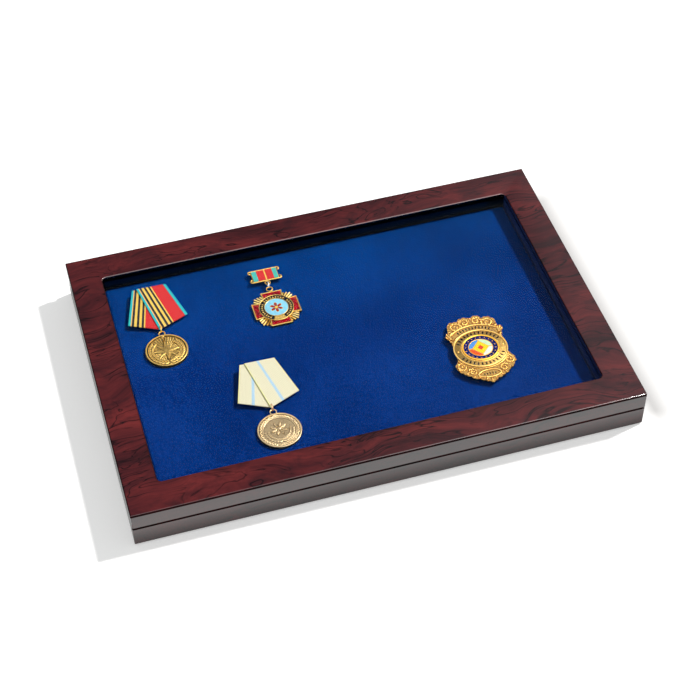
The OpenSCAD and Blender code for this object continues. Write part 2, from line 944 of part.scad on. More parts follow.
base_frame();
base_board();
pad_board();
foam_core();
velvet_cover();
foot(-1, -1);  // foot_front_left
foot(1, -1);  // foot_front_right
foot(-1, 1);  // foot_back_left
foot(1, 1);  // foot_back_right
magnet_pair(base_magnet_z);  // base_magnets
hinge_leaf(-hinge_span / 2, -1);  // base_leaf_left
hinge_leaf(hinge_span / 2, -1);  // base_leaf_right
hinge_pin(-hinge_span / 2);  // hinge_pin_left
hinge_pin(hinge_span / 2);  // hinge_pin_right
base_hinge_screws();
lid_frame();
glass_pane();
glass_retainer();
retainer_screws();
hinge_leaf(-hinge_span / 2, 1);  // lid_leaf_left
hinge_leaf(hinge_span / 2, 1);  // lid_leaf_right
lid_hinge_screws();
magnet_pair(lid_magnet_z);  // lid_magnets
color("#c8323a") folded_ribbon(striped_at, striped_turn, striped_tilt);  // striped_ribbon
ribbon_mount(striped_at, striped_turn, striped_tilt);  // striped_ribbon_mount
color("#c39a3e") jump_ring(striped_at, 0);  // striped_link
color("#b8923f") round_medal(striped_at, 8, gold_star_r);  // striped_medal
color("#efe6c4") folded_ribbon(pale_at, pale_turn, pale_tilt);  // pale_ribbon
ribbon_mount(pale_at, pale_turn, pale_tilt);  // pale_ribbon_mount
color("#b5765a") jump_ring(pale_at, 0);  // pale_link
color("#b39b6e") round_medal(pale_at, 8, pale_star_r);  // pale_medal
pendant_bar();
pendant_bar_ribbon();
color("#c9ccd2") jump_ring(pendant_ring, 0);  // pendant_link
pendant_cross();
pendant_enamel();
pendant_centre();
badge_shield();
badge_plaque();
badge_seal();
badge_pins();
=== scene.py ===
import functools
import math

import bmesh
import bpy
import numpy as np
from mathutils import Euler, Matrix, Vector


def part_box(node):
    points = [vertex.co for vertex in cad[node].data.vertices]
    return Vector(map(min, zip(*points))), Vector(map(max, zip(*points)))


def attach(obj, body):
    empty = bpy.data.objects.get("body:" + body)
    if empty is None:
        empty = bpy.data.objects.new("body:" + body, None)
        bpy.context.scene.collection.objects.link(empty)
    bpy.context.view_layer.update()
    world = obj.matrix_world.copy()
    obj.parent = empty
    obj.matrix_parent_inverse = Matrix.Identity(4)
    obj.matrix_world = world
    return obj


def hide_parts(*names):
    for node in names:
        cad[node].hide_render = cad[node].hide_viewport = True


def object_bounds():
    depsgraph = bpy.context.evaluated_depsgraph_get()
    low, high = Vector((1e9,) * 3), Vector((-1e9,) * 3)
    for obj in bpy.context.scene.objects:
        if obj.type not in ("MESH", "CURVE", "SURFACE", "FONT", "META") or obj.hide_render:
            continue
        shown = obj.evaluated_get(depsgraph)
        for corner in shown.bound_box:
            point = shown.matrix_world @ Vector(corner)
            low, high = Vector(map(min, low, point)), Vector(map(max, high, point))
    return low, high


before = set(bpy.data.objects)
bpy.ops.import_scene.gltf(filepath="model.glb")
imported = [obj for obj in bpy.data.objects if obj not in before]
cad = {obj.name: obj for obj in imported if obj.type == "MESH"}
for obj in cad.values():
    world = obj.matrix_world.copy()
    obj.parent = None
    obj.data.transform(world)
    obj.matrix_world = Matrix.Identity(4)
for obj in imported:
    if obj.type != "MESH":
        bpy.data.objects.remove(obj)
cad_low, cad_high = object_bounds()
MM = 0.001

# Camera, as the photograph was taken: a long lens from the front left
CAMERA_AT = (-0.2276, -0.8076, 0.9199)
CAMERA_TURN = (42.65, 0.90, -16.17)
LENS = 84.66
SENSOR = 36.0
SHIFT = (0.0226, -0.0034)

# Light: a fairly hard key from the back right, and soft light from all round
KEY_TRAVEL = (-0.864, -0.22, -1.0)
KEY_STRENGTH = 3.2
KEY_SIZE = 4.0
FILL = 0.4
FLOOR_HALF = 4.0
FLOOR_GLOW = 0.42
# The floor's glow in reflections, near the case and away from it, and how far from the case its painted
# shade reaches
FLOOR_GLOSS_GLOW_PAINTED_SHADE = (0.4, 1.2)
FLOOR_PAINTED_SHADE_REACH = 0.014
BACK_SKY = (0.14, 0.85)
FRONT_SKY = 3.2

# Sizes in millimetres and turns in degrees that the CAD nodes don't give, and the ribbons' ribs
RETAINER_PAST_WINDOW = 9.0
REBATE_REACH = 14.0
MEDAL_R = 16.0
EYELET_R = 2.3
EYELET_WIRE = 0.5
RIBBON_LIFT = 1.9
RIBBON_ROLL = 2.0
RIBBON_LOW, RIBBON_TOP = 0.4, 44.4
ARM_REACH = 17.8
BADGE_TURN = -3.0
BAND_RISE, BAND_MIDDLE_Y = 1.45, -4.0
SMALL_OVAL_RISE, SMALL_OVAL_Y = 1.35, -24.6
PLAQUE_RISE = 0.62
RIBBON_WIDTH = 23.0
BAR_SILK_WIDTH = 19.4
RIBS = 150.0


def colour(r, g, b):
    """A colour given as the 0 to 255 numbers of a picture, as linear light."""
    def linear(c):
        c = c / 255
        return c / 12.92 if c <= 0.04045 else ((c + 0.055) / 1.055) ** 2.4
    return (linear(r), linear(g), linear(b), 1.0)


# Helpers for nodes

def new_material(name):
    """A material with its output and one Principled shader; returns material, tree and shader."""
    m = bpy.data.materials.new(name)
    m.use_nodes = True
    t = m.node_tree
    t.nodes.clear()
    out = t.nodes.new("ShaderNodeOutputMaterial")
    shader = t.nodes.new("ShaderNodeBsdfPrincipled")
    t.links.new(shader.outputs["BSDF"], out.inputs["Surface"])
    return m, t, shader


def join(t, socket, value):
    """Links a socket to a value's socket, or sets it."""
    if isinstance(value, bpy.types.NodeSocket):
        t.links.new(value, socket)
    else:
        socket.default_value = value


def set_inputs(t, n, **values):
    """Sets or links a node's inputs by their names."""
    for k, v in values.items():
        join(t, n.inputs[k.replace("_", " ")], v)


def node(t, kind, settings=None, **inputs):
    """A node with its settings; inputs go by name, or as i0, i1 by number."""
    n = t.nodes.new(kind)
    for k, v in (settings or {}).items():
        setattr(n, k, v)
    for k, v in inputs.items():
        numbered = k[0] == "i" and k[1:].isdigit()
        join(t, n.inputs[int(k[1:])] if numbered else n.inputs[k.replace("_", " ")], v)
    return n


def calc(t, operation, a, b=0.0, clamp=False):
    return node(t, "ShaderNodeMath", {"operation": operation, "use_clamp": clamp}, i0=a, i1=b).outputs[0]


def times(t, a, b, clamp=False):
    return calc(t, "MULTIPLY", a, b, clamp)


def plus(t, a, b):
    return calc(t, "ADD", a, b)


def minus(t, a, b):
    return calc(t, "SUBTRACT", a, b)


def larger(t, a, b):
    return calc(t, "MAXIMUM", a, b)


def between(t, factor, a, b):
    """The number a where the factor is 0, b where it is 1."""
    return plus(t, times(t, b, factor), times(t, a, minus(t, 1.0, factor)))


def axes(t, vector):
    """The X, Y and Z of a vector."""
    return node(t, "ShaderNodeSeparateXYZ", Vector=vector).outputs


def vector_calc(t, operation, **inputs):
    return node(t, "ShaderNodeVectorMath", {"operation": operation}, **inputs).outputs


def stretched(t, at, *scale, shift=(0.0, 0.0, 0.0)):
    """A place, scaled along each axis and shifted."""
    return node(t, "ShaderNodeMapping", Vector=at, Scale=scale, Location=shift).outputs[0]


def spread(t, value, low, high, to_low=0.0, to_high=1.0):
    return node(t, "ShaderNodeMapRange", Value=value, From_Min=low, From_Max=high,
                To_Min=to_low, To_Max=to_high).outputs[0]


def noise(t, at, scale, detail=2.0, roughness=0.5, distortion=0.0, output="Fac"):
    return node(t, "ShaderNodeTexNoise", Vector=at, Scale=scale, Detail=detail,
                Roughness=roughness, Distortion=distortion).outputs[output]


def ramp(t, factor, stops, interpolation="LINEAR"):
    """A colour ramp; stops are (place, colour)."""
    r = node(t, "ShaderNodeValToRGB", Fac=factor)
    r.color_ramp.interpolation = interpolation
    while len(r.color_ramp.elements) < len(stops):
        r.color_ramp.elements.new(0.5)
    for e, (at, c) in zip(r.color_ramp.elements, stops):
        e.position = at
        e.color = c
    return r.outputs["Color"]


def mix(t, factor, a, b):
    n = node(t, "ShaderNodeMix", {"data_type": "RGBA", "clamp_factor": True})
    join(t, n.inputs[0], factor)
    join(t, n.inputs[6], a)
    join(t, n.inputs[7], b)
    return n.outputs[2]


def shade(t, c, value, hue=0.5, saturation=1.0):
    return node(t, "ShaderNodeHueSaturation", Color=c, Value=value, Hue=hue,
                Saturation=saturation).outputs[0]


def new_group(name, inputs, outputs, kind="ShaderNodeTree"):
    """A node group; inputs and outputs are (name, socket kind, value)."""
    g = bpy.data.node_groups.new(name, kind)
    for n, socket, value in inputs:
        s = g.interface.new_socket(name=n, in_out="INPUT", socket_type=socket)
        if value is not None:
            s.default_value = value
    for n, socket in outputs:
        g.interface.new_socket(name=n, in_out="OUTPUT", socket_type=socket)
    return g, g.nodes.new("NodeGroupInput").outputs, g.nodes.new("NodeGroupOutput").inputs


def use_group(t, group, **inputs):
    n = t.nodes.new("ShaderNodeGroup")
    n.node_tree = group
    set_inputs(t, n, **inputs)
    return n.outputs


def object_place(t):
    return node(t, "ShaderNodeTexCoord").outputs["Object"]


def bump(t, height, strength, distance):
    return node(t, "ShaderNodeBump", Height=height, Strength=strength, Distance=distance).outputs["Normal"]


# Shapes

class Shape:
    """Points and faces gathered for one mesh, in millimetres; kinds are the materials' numbers."""

    def __init__(self):
        self.points, self.faces, self.kinds = [], [], []

    def add(self, points, faces, kind=0, move=None):
        first = len(self.points)
        self.points += [tuple(move @ Vector(p)) if move is not None else tuple(p) for p in points]
        self.faces += [tuple(first + i for i in f) for f in faces]
        self.kinds += [kind] * len(faces)
        return self

    def object(self, name, materials, angle=40, merge=True):
        """The mesh object, its faces turned outwards and smoothed where they bend less than an angle."""
        o = new_object(name, self.points, self.faces, materials)
        o.data.polygons.foreach_set("material_index", self.kinds)
        b = bmesh.new()
        b.from_mesh(o.data)
        if merge:
            bmesh.ops.remove_doubles(b, verts=b.verts, dist=1e-6)
        bmesh.ops.recalc_face_normals(b, faces=b.faces)
        b.to_mesh(o.data)
        b.free()
        smooth(o, angle)
        return o


def new_object(name, points, faces, materials):
    mesh = bpy.data.meshes.new(name)
    mesh.from_pydata([[c * MM for c in p] for p in points], [], faces)
    for m in materials:
        mesh.materials.append(m)
    o = bpy.data.objects.new(name, mesh)
    bpy.context.scene.collection.objects.link(o)
    return o


def smooth(o, angle):
    o.data.shade_smooth()
    o.data.set_sharp_from_angle(angle=math.radians(angle))


def bake(o):
    """The object's modifiers, applied."""
    bpy.context.view_layer.update()
    mesh = bpy.data.meshes.new_from_object(o.evaluated_get(bpy.context.evaluated_depsgraph_get()))
    o.modifiers.clear()
    o.data = mesh
    return o


def thicken(o, thickness, offset):
    """Gives a cloth surface its thickness in millimetres."""
    solid = o.modifiers.new("cloth", "SOLIDIFY")
    solid.thickness = thickness * MM
    solid.offset = offset
    bake(o)
    smooth(o, 60)
    return o


def even_normals(o):
    """Keeps large flat faces flat where they run into rounded edges."""
    w = o.modifiers.new("even", "WEIGHTED_NORMAL")
    w.weight = 100
    w.keep_sharp = True
    return bake(o)


def loft(loops, closed=True, ring=False):
    """Faces through loops of equally many points: with an end face at both ends, or joined to a ring."""
    n = len(loops[0])
    points = [p for loop in loops for p in loop]
    if ring:
        loops = loops + [loops[0]]
    total = len(points)
    faces = [tuple((row * n + column % n) % total
                   for row, column in ((i, j), (i, j + 1), (i + 1, j + 1), (i + 1, j)))
             for i in range(len(loops) - 1) for j in range(n)]
    if closed and not ring:
        faces += [tuple(range(n))[::-1], tuple(range(total - n, total))]
    return points, faces


def inset(loop, d):
    """A flat loop with every side moved inwards by d; the loop runs anticlockwise."""
    p = np.array(loop, float)
    a = p - np.roll(p, 1, 0)
    b = np.roll(p, -1, 0) - p
    na = np.stack([-a[:, 1], a[:, 0]], 1) / np.linalg.norm(a, axis=1)[:, None]
    nb = np.stack([-b[:, 1], b[:, 0]], 1) / np.linalg.norm(b, axis=1)[:, None]
    m = na + nb
    m /= np.maximum((m * na).sum(1), 0.35)[:, None]
    return p + m * d


def plate(loop, levels):
    """A flat piece: the loop moved inwards by each level's inset, at each level's height."""
    return loft([[(x, y, z) for x, y in inset(loop, d)] for d, z in levels])


def oval(a, b, count=96):
    t = np.linspace(0, 2 * np.pi, count, endpoint=False)
    return np.stack([a * np.cos(t), b * np.sin(t)], 1)


def oval_ring(a, b, width, levels, count=96):
    """A closed oval band; levels go all round its section as (place across the width, height)."""
    return loft([[(x, y, z) for x, y in oval(a - width * s, b - width * s, count)] for s, z in levels],
                ring=True)


def round_band(a, b, width, z, rise, count=96):
    """An oval band with a round section, its middle at height z."""
    t = np.linspace(0, 2 * np.pi, 13)[:-1]
    return oval_ring(a, b, width, [(0.5 - 0.5 * math.cos(k), z + rise * math.sin(k)) for k in t], count)


def tube(path, radius, sides):
    """A wire along an open path, with rounded ends."""
    path = [Vector(p) for p in path]
    loops = []
    last = len(path) - 1
    for i, p in enumerate(path):
        along = (path[min(i + 1, last)] - path[max(i - 1, 0)]).normalized()
        side = along.cross(Vector((0, 0, 1))).normalized()
        top = side.cross(along)
        ends = [(0.0, 1.0)]
        if i == 0:
            ends = [(-0.7, 0.4), (-0.4, 0.8), (0.0, 1.0)]
        if i == last:
            ends = [(0.0, 1.0), (0.4, 0.8), (0.7, 0.4)]
        for away, r in ends:
            loops.append([p + along * radius * away + (side * math.cos(a) + top * math.sin(a)) * radius * r
                          for a in np.linspace(0, 2 * np.pi, sides, endpoint=False)])
    return loft(loops)


def torus(centre, r, wire, around=48, sides=12):
    """A flat wire ring."""
    loops = []
    for a in np.linspace(0, 2 * np.pi, around, endpoint=False):
        out = Vector((math.cos(a), math.sin(a), 0))
        loops.append([Vector(centre) + out * (r + wire * math.cos(k)) + Vector((0, 0, wire * math.sin(k)))
                      for k in np.linspace(0, 2 * np.pi, sides, endpoint=False)])
    return loft(loops, ring=True)


def post(x, y, z0, z1, r, sides=20):
    turns = np.linspace(0, 2 * np.pi, sides, endpoint=False)
    return loft([[(x + r * math.cos(a), y + r * math.sin(a), z) for a in turns] for z in (z0, z1)])


def place(x, y, z, turn=0.0, tilt=0.0, roll=0.0):
    return (Matrix.Translation((x, y, z)) @ Matrix.Rotation(math.radians(turn), 4, "Z")
            @ Matrix.Rotation(math.radians(roll), 4, "Y") @ Matrix.Rotation(math.radians(tilt), 4, "X"))


def flat_places(o, centre, turn):
    """A map of places seen from above, 10 mm per unit from a centre, turned with the piece."""
    back = Matrix.Rotation(math.radians(-turn), 4, "Z")
    layer = o.data.uv_layers.new(name="cloth")
    for loop in o.data.loops:
        p = back @ (o.data.vertices[loop.vertex_index].co / MM - centre)
        layer.data[loop.index].uv = (p.x / 10, p.y / 10)


def cloth_object(name, points, faces, cloth, material):
    """A cloth surface with its places across and along the weave."""
    o = new_object(name, points, faces, [material])
    layer = o.data.uv_layers.new(name="cloth")
    for loop in o.data.loops:
        layer.data[loop.index].uv = cloth[loop.vertex_index]
    return o


def grid_faces(rows, columns, first=0, turned=False):
    faces = []
    for i in range(rows - 1):
        for j in range(columns - 1):
            k = first + i * columns + j
            q = (k, k + 1, k + columns + 1, k + columns)
            faces.append(q[::-1] if turned else q)
    return faces


# Struck relief

def step(low, high, x):
    k = np.clip((x - low) / (high - low), 0, 1)
    return k * k * (3 - 2 * k)


def ridge(r, at, width):
    return np.clip(1 - ((r - at) / width) ** 2, 0, None)


def dome(square):
    """Height over a round boss, from 0 to 1; square is how far out a point is, squared."""
    return np.sqrt(np.clip(1 - square, 0, 1))


def highest(*heights):
    return functools.reduce(np.maximum, heights)


def star_height(x, y, rays, reach, waist, turn):
    """How far inside a star's outline a point is, so that every ray has a sharp ridge along its middle."""
    r, a = np.hypot(x, y), np.arctan2(y, x) - math.radians(turn)
    half = math.pi / rays
    a = np.abs((a + half) % (2 * half) - half)
    side = np.array([waist * math.cos(half) - reach, waist * math.sin(half)])
    n = np.array([side[1], -side[0]]) / np.hypot(*side)
    return reach * n[0] - (r * np.cos(a) * n[0] + r * np.sin(a) * n[1])


def leaf(x, y, cx, cy, angle, length, width):
    """Height over a pointed leaf with a sunk middle vein, from 0 to 1."""
    c, s = math.cos(angle), math.sin(angle)
    u = ((x - cx) * c + (y - cy) * s) / length + 0.5
    v = (-(x - cx) * s + (y - cy) * c) / width
    inside = (u > 0) & (u < 1)
    k = np.abs(v) / np.where(inside, np.sin(np.pi * np.clip(u, 0.01, 0.99)) ** 0.8 * 0.5, 1)
    return np.where(inside & (k < 1), dome(k * k) * (0.7 + 0.3 * step(0.0, 0.35, k)), 0)


def along_curve(x, y, curve, width):
    """Height over a rounded line through the points of a curve, from 0 to 1; width may change along it."""
    best = np.zeros_like(x)
    for (px, py), w in zip(curve, width):
        np.maximum(best, 1 - ((x - px) ** 2 + (y - py) ** 2) / (w * w), out=best)
    return np.sqrt(best)


def spiral(cx, cy, r0, r1, start, turns, count=60):
    """A curl's points from radius r0 to r1, starting at an angle in degrees."""
    k = np.linspace(0, 1, count)
    a = math.radians(start) + k * turns * 2 * np.pi
    r = r0 + (r1 - r0) * k
    return np.stack([cx + r * np.cos(a), cy + r * np.sin(a)], 1)


def struck(shape, outer, height, around, rings, inner, move):
    """Adds a piece struck from one side: it reaches outer(angle), its face follows height(x, y) and its
    back is flat. Gives how worn each point is, from 0 in the hollows to 1 on the edges."""
    a = np.linspace(0, 2 * np.pi, around, endpoint=False)
    reach = outer(a)
    s = np.concatenate([[0.02], np.linspace(inner, 1.0, rings)])
    x, y = np.outer(s, reach * np.cos(a)), np.outer(s, reach * np.sin(a))
    z = height(x, y)
    beside = sum(np.roll(z, k, 1) for k in (-3, -2, -1, 1, 2, 3)) / 6
    padded = np.pad(z, ((2, 2), (0, 0)), mode="edge")
    within = (padded[:-4] + padded[1:-3] + padded[3:-1] + padded[4:]) / 4
    wear = np.clip(0.46 + 4.4 * (z - 0.5 * (beside + within)), 0, 1)
    loops = [list(zip(x[i], y[i], z[i])) for i in range(len(s))]
    loops.append([(px, py, 0.0) for px, py in zip(x[-1], y[-1])])
    shape.add(*loft(loops), 0, move)
    return np.concatenate([wear.ravel(), np.full(around, 0.5)])


def mark_wear(o, wear=(), rest=0.62):
    """Stores the wear on the points; those past the given ones get one middle value."""
    values = np.full(len(o.data.vertices), rest, np.float32)
    values[:len(wear)] = wear
    o.data.attributes.new("wear", "FLOAT", "POINT").data.foreach_set("value", values)
    return o


# Beads that repeat along an oval

def make_bead_tree():
    g, inp, out = new_group("beads_on_oval", [
        ("Half Size", "NodeSocketVector", (1.0, 1.0, 1.0)), ("Start", "NodeSocketFloat", 0.0),
        ("Sweep", "NodeSocketFloat", 6.28), ("Count", "NodeSocketInt", 12),
        ("Bead Size", "NodeSocketVector", (1.0, 1.0, 1.0)), ("Metal", "NodeSocketMaterial", None)],
        [("Geometry", "NodeSocketGeometry")], "GeometryNodeTree")
    arc = node(g, "GeometryNodeCurveArc", {"mode": "RADIUS"}, Resolution=128, Radius=1.0,
               Start_Angle=inp["Start"], Sweep_Angle=inp["Sweep"])
    sized = node(g, "GeometryNodeTransform", Geometry=arc.outputs[0], Scale=inp["Half Size"])
    places = node(g, "GeometryNodeCurveToPoints", {"mode": "COUNT"}, Curve=sized.outputs[0],
                  Count=inp["Count"])
    turned = node(g, "FunctionNodeAlignRotationToVector", {"axis": "X", "pivot_axis": "Z"},
                  Vector=places.outputs["Tangent"])
    bead = node(g, "GeometryNodeMeshIcoSphere", Radius=1.0, Subdivisions=2)
    put = node(g, "GeometryNodeInstanceOnPoints", Points=places.outputs["Points"],
               Instance=bead.outputs["Mesh"], Rotation=turned.outputs[0], Scale=inp["Bead Size"])
    real = node(g, "GeometryNodeRealizeInstances", Geometry=put.outputs[0])
    soft = node(g, "GeometryNodeSetShadeSmooth", Geometry=real.outputs[0])
    coated = node(g, "GeometryNodeSetMaterial", Geometry=soft.outputs[0], Material=inp["Metal"])
    g.links.new(coated.outputs[0], out["Geometry"])
    return g


def beads(name, body, slot, material, move, half_size, bead_size, count, start=0.0, sweep=360.0):
    """Beads along an oval or a part of it; bead_size is along, across and up, in millimetres."""
    o = new_object(name, [], [], [])
    mod = o.modifiers.new("beads", "NODES")
    mod.node_group = BEADS
    if sweep >= 360:
        sweep = 360 * (1 - 1 / count)
    values = {"Half Size": (*half_size, 1.0), "Start": math.radians(start), "Sweep": math.radians(sweep),
              "Count": count, "Bead Size": bead_size, "Metal": material}
    for item in BEADS.interface.items_tree:
        if item.in_out == "INPUT":
            mod[item.identifier] = values[item.name]
    bake(o)
    o.data.transform(Matrix.Scale(MM, 4) @ move)
    mark_wear(o, rest=0.75)
    return finish(o, body, slot)


# Surfaces

def make_rosewood_figure():
    """Smoky red-brown with thin dark veins that run along X and swing round in places."""
    g, inp, out = new_group("rosewood_figure", [("Place", "NodeSocketVector", None)],
                            [("Colour", "NodeSocketColor")])
    here = inp["Place"]
    drift = vector_calc(g, "SUBTRACT", i0=noise(g, here, 13.0, output="Color"), i1=(0.5, 0.5, 0.5))[0]
    swing = vector_calc(g, "SCALE", i0=drift, Scale=0.05)[0]
    bent = vector_calc(g, "ADD", i0=here, i1=swing)[0]
    smoke = noise(g, stretched(g, bent, 8.0, 42.0, 42.0), 1.0, 4.0, 0.6)
    streaks = noise(g, stretched(g, bent, 14.0, 240.0, 240.0), 1.0, 3.0, 0.6)
    base = ramp(g, plus(g, times(g, smoke, 0.74), times(g, streaks, 0.26)), [
        (0.34, colour(46, 19, 24)), (0.44, colour(70, 26, 31)), (0.54, colour(90, 33, 36)),
        (0.68, colour(112, 41, 42))])
    blots = noise(g, stretched(g, here, 34.0, 60.0, 60.0), 1.0, 4.0, 0.65, 0.4)
    base = mix(g, times(g, spread(g, blots, 0.53, 0.66), 0.5), base, colour(40, 22, 28))
    ring_at = stretched(g, bent, 7.0, 80.0, 80.0, shift=(3.1, 1.7, 0.4))
    rings = times(g, noise(g, ring_at, 1.0, 2.5, 0.5, 0.3), 7.0)
    near = calc(g, "ABSOLUTE", minus(g, calc(g, "FRACT", rings), 0.5))
    some = spread(g, noise(g, here, 24.0), 0.36, 0.5)
    vein = times(g, spread(g, near, 0.0, 0.12, 1.0, 0.0), some, clamp=True)
    base = mix(g, times(g, vein, 0.92), base, colour(18, 8, 14))
    pores = noise(g, stretched(g, bent, 70.0, 900.0, 900.0), 1.0, 3.0)
    g.links.new(shade(g, base, plus(g, 0.8, times(g, pores, 0.4))), out["Colour"])
    return g


def make_metal_patina():
    """Base colour and roughness of struck metal, from how worn a point is."""
    g, inp, out = new_group(
        "metal_patina",
        [("Bright", "NodeSocketColor", (1, 1, 1, 1)), ("Dark", "NodeSocketColor", (0, 0, 0, 1)),
         ("Place", "NodeSocketVector", None), ("Wear", "NodeSocketFloat", 0.6)],
        [("Colour", "NodeSocketColor"), ("Roughness", "NodeSocketFloat")])
    mottle = noise(g, inp["Place"], 700.0, 3.0)
    worn = plus(g, inp["Wear"], times(g, minus(g, mottle, 0.5), 0.35))
    g.links.new(mix(g, spread(g, worn, 0.3, 0.8), inp["Dark"], inp["Bright"]), out["Colour"])
    g.links.new(spread(g, worn, 0.3, 0.8, 0.4, 0.16), out["Roughness"])
    return g


def make_thread_relief():
    """Height of woven thread and its slightly uneven colour, from places across and along the cloth."""
    g, inp, out = new_group(
        "thread_relief",
        [("Place", "NodeSocketVector", None), ("Ribs", "NodeSocketFloat", 60.0)],
        [("Height", "NodeSocketFloat"), ("Tone", "NodeSocketFloat")])
    at = axes(g, inp["Place"])
    rib = calc(g, "SINE", times(g, at["Y"], inp["Ribs"]))
    thread = calc(g, "SINE", times(g, at["X"], inp["Ribs"]))
    uneven = noise(g, inp["Place"], 30.0, 3.0)
    height = plus(g, times(g, rib, 0.35), times(g, thread, 0.15))
    g.links.new(plus(g, height, times(g, uneven, 0.5)), out["Height"])
    tone = plus(g, uneven, times(g, rib, 0.06))
    g.links.new(spread(g, tone, 0.3, 0.7, 0.88, 1.08), out["Tone"])
    return g


def make_band_mask():
    """1 where a value lies within a band, with a soft edge."""
    g, inp, out = new_group(
        "band_mask",
        [("Value", "NodeSocketFloat", 0.0), ("Low", "NodeSocketFloat", 0.0),
         ("High", "NodeSocketFloat", 1.0), ("Edge", "NodeSocketFloat", 0.02)],
        [("Mask", "NodeSocketFloat")])
    up = spread(g, minus(g, inp["Value"], inp["Low"]), 0.0, inp["Edge"])
    down = spread(g, minus(g, inp["High"], inp["Value"]), 0.0, inp["Edge"])
    g.links.new(times(g, up, down, clamp=True), out["Mask"])
    return g


def lacquered_wood(name, coat_ior, coat_roughness, value=1.0, shade_bands=(), shade_well=()):
    """Rosewood under clear lacquer; the bands give heights in millimetres where the wood carries painted
    shade, darkened and with no lacquer reflection, and the well the half sizes in metres of a middle part
    painted black as shade."""
    m, t, s = new_material(name)
    here = object_place(t)
    at = axes(t, here)
    shine = 1.0
    # Painted shade: in each band the wood is darkened and loses its lacquer's reflection
    if shade_bands:
        up = times(t, at["Z"], 1 / MM)
        masks = [use_group(t, BAND, Value=up, Low=low, High=high, Edge=0.25)["Mask"] for low, high in shade_bands]
        shine = minus(t, 1.0, larger(t, *masks))
        value = times(t, value, plus(t, 0.5, times(t, shine, 0.5)))
    # Painted shade: inside the well the wood is black, without lacquer
    if shade_well:
        inside = [calc(t, "LESS_THAN", calc(t, "ABSOLUTE", at[k]), half) for k, half in zip("XY", shade_well)]
        shine = minus(t, shine, times(t, *inside))
        value = times(t, value, shine)
    figure = use_group(t, ROSEWOOD, Place=here)["Colour"]
    set_inputs(t, s, Base_Color=shade(t, figure, value), Roughness=0.5, Specular_IOR_Level=0.0,
               Coat_Weight=shine, Coat_IOR=coat_ior, Coat_Roughness=coat_roughness,
               Coat_Normal=bump(t, noise(t, here, 60.0), 0.05, 0.0005))
    return m


def plain(name, base, roughness, grain=0.0, grain_scale=400.0, variation=0.12, ior=1.5):
    """A surface of one colour with slight variation and grain."""
    m, t, s = new_material(name)
    here = object_place(t)
    mottle = noise(t, here, grain_scale * 0.25, 3.0)
    tone = spread(t, mottle, 0.0, 1.0, 1.0 - variation, 1.0 + variation)
    set_inputs(t, s, Base_Color=shade(t, colour(*base), tone), IOR=ior,
               Roughness=spread(t, mottle, 0.0, 1.0, roughness * 0.85, roughness * 1.15))
    if grain:
        set_inputs(t, s, Normal=bump(t, noise(t, here, grain_scale), grain, 0.0003))
    return m


def wall_lacquer():
    """Black lacquer of the window's walls; the right wall is painted blue and made rough, a painted
    reflection of the velvet beside it.
    """
    gloss, soft = 0.12, 0.6
    m = plain("black_lacquer", (3, 6, 12), gloss, ior=1.52)
    t = m.node_tree
    s = t.nodes["Principled BSDF"]
    x, wall = axes(t, object_place(t))["X"], window_half()[0]
    painted_light_on_right = times(t, calc(t, "GREATER_THAN", x, (wall - 0.5) * MM),
                     calc(t, "LESS_THAN", x, (wall + 0.6) * MM))
    black = s.inputs["Base Color"].links[0].from_socket
    # Painted reflection: on the right wall the colour is mixed to the velvet's blue
    set_inputs(t, s, Base_Color=mix(t, painted_light_on_right, black, colour(7, 38, 92)),
               Roughness=spread(t, painted_light_on_right, 0.0, 1.0, gloss, soft))
    return m


def metal(name, bright, dark, wear=None, roughness=1.0):
    """Struck or polished metal; without a wear value it reads the piece's own."""
    m, t, s = new_material(name)
    if wear is None:
        wear = node(t, "ShaderNodeAttribute", {"attribute_name": "wear"}).outputs["Fac"]
    p = use_group(t, PATINA, Bright=colour(*bright), Dark=colour(*dark), Place=object_place(t), Wear=wear)
    set_inputs(t, s, Base_Color=p["Colour"], Roughness=times(t, p["Roughness"], roughness), Metallic=1.0)
    return m


def velvet():
    """Short blue pile: a soft sheen over mottled colour, with painted shade to the right and painted light
    at the back.
    """
    m, t, s = new_material("blue_velvet")
    here = object_place(t)
    pile = noise(t, here, 850.0)
    both = plus(t, times(t, noise(t, here, 14.0, 3.0), 0.3), times(t, pile, 0.7))
    c = ramp(t, both, [(0.4, colour(0, 32, 94)), (0.5, colour(4, 46, 118)), (0.6, colour(13, 60, 140))])
    at = axes(t, here)
    # Painted light: the colour is darkened towards the right and lightened towards the back
    c = mix(t, spread(t, at["X"], -0.05, 0.17), c, shade(t, c, 0.88))
    c = mix(t, spread(t, at["Y"], 0.0, 0.1), c, shade(t, c, 1.1, 0.493, 1.05))
    set_inputs(t, s, Base_Color=c, Roughness=1.0, Specular_IOR_Level=0.0, Sheen_Weight=0.07,
               Sheen_Roughness=0.45, Sheen_Tint=colour(40, 110, 220), Normal=bump(t, pile, 0.35, 0.0004))
    return m


def clear_pane():
    """Clear glass that lets the key light through to the pad."""
    m, t, s = new_material("clear_pane")
    tint = (0.985, 0.995, 0.995, 1.0)
    wipe = bump(t, noise(t, object_place(t), 9.0), 0.001, 0.0003)
    set_inputs(t, s, Base_Color=tint, Roughness=0.0, IOR=1.1, Transmission_Weight=1.0, Normal=wipe)
    path = node(t, "ShaderNodeLightPath").outputs
    through = node(t, "ShaderNodeBsdfTransparent", Color=tint)
    soft = larger(t, path["Is Shadow Ray"], path["Is Diffuse Ray"])
    both = node(t, "ShaderNodeMixShader", i0=soft, i1=s.outputs[0], i2=through.outputs[0])
    t.links.new(both.outputs[0], t.nodes["Material Output"].inputs["Surface"])
    return m


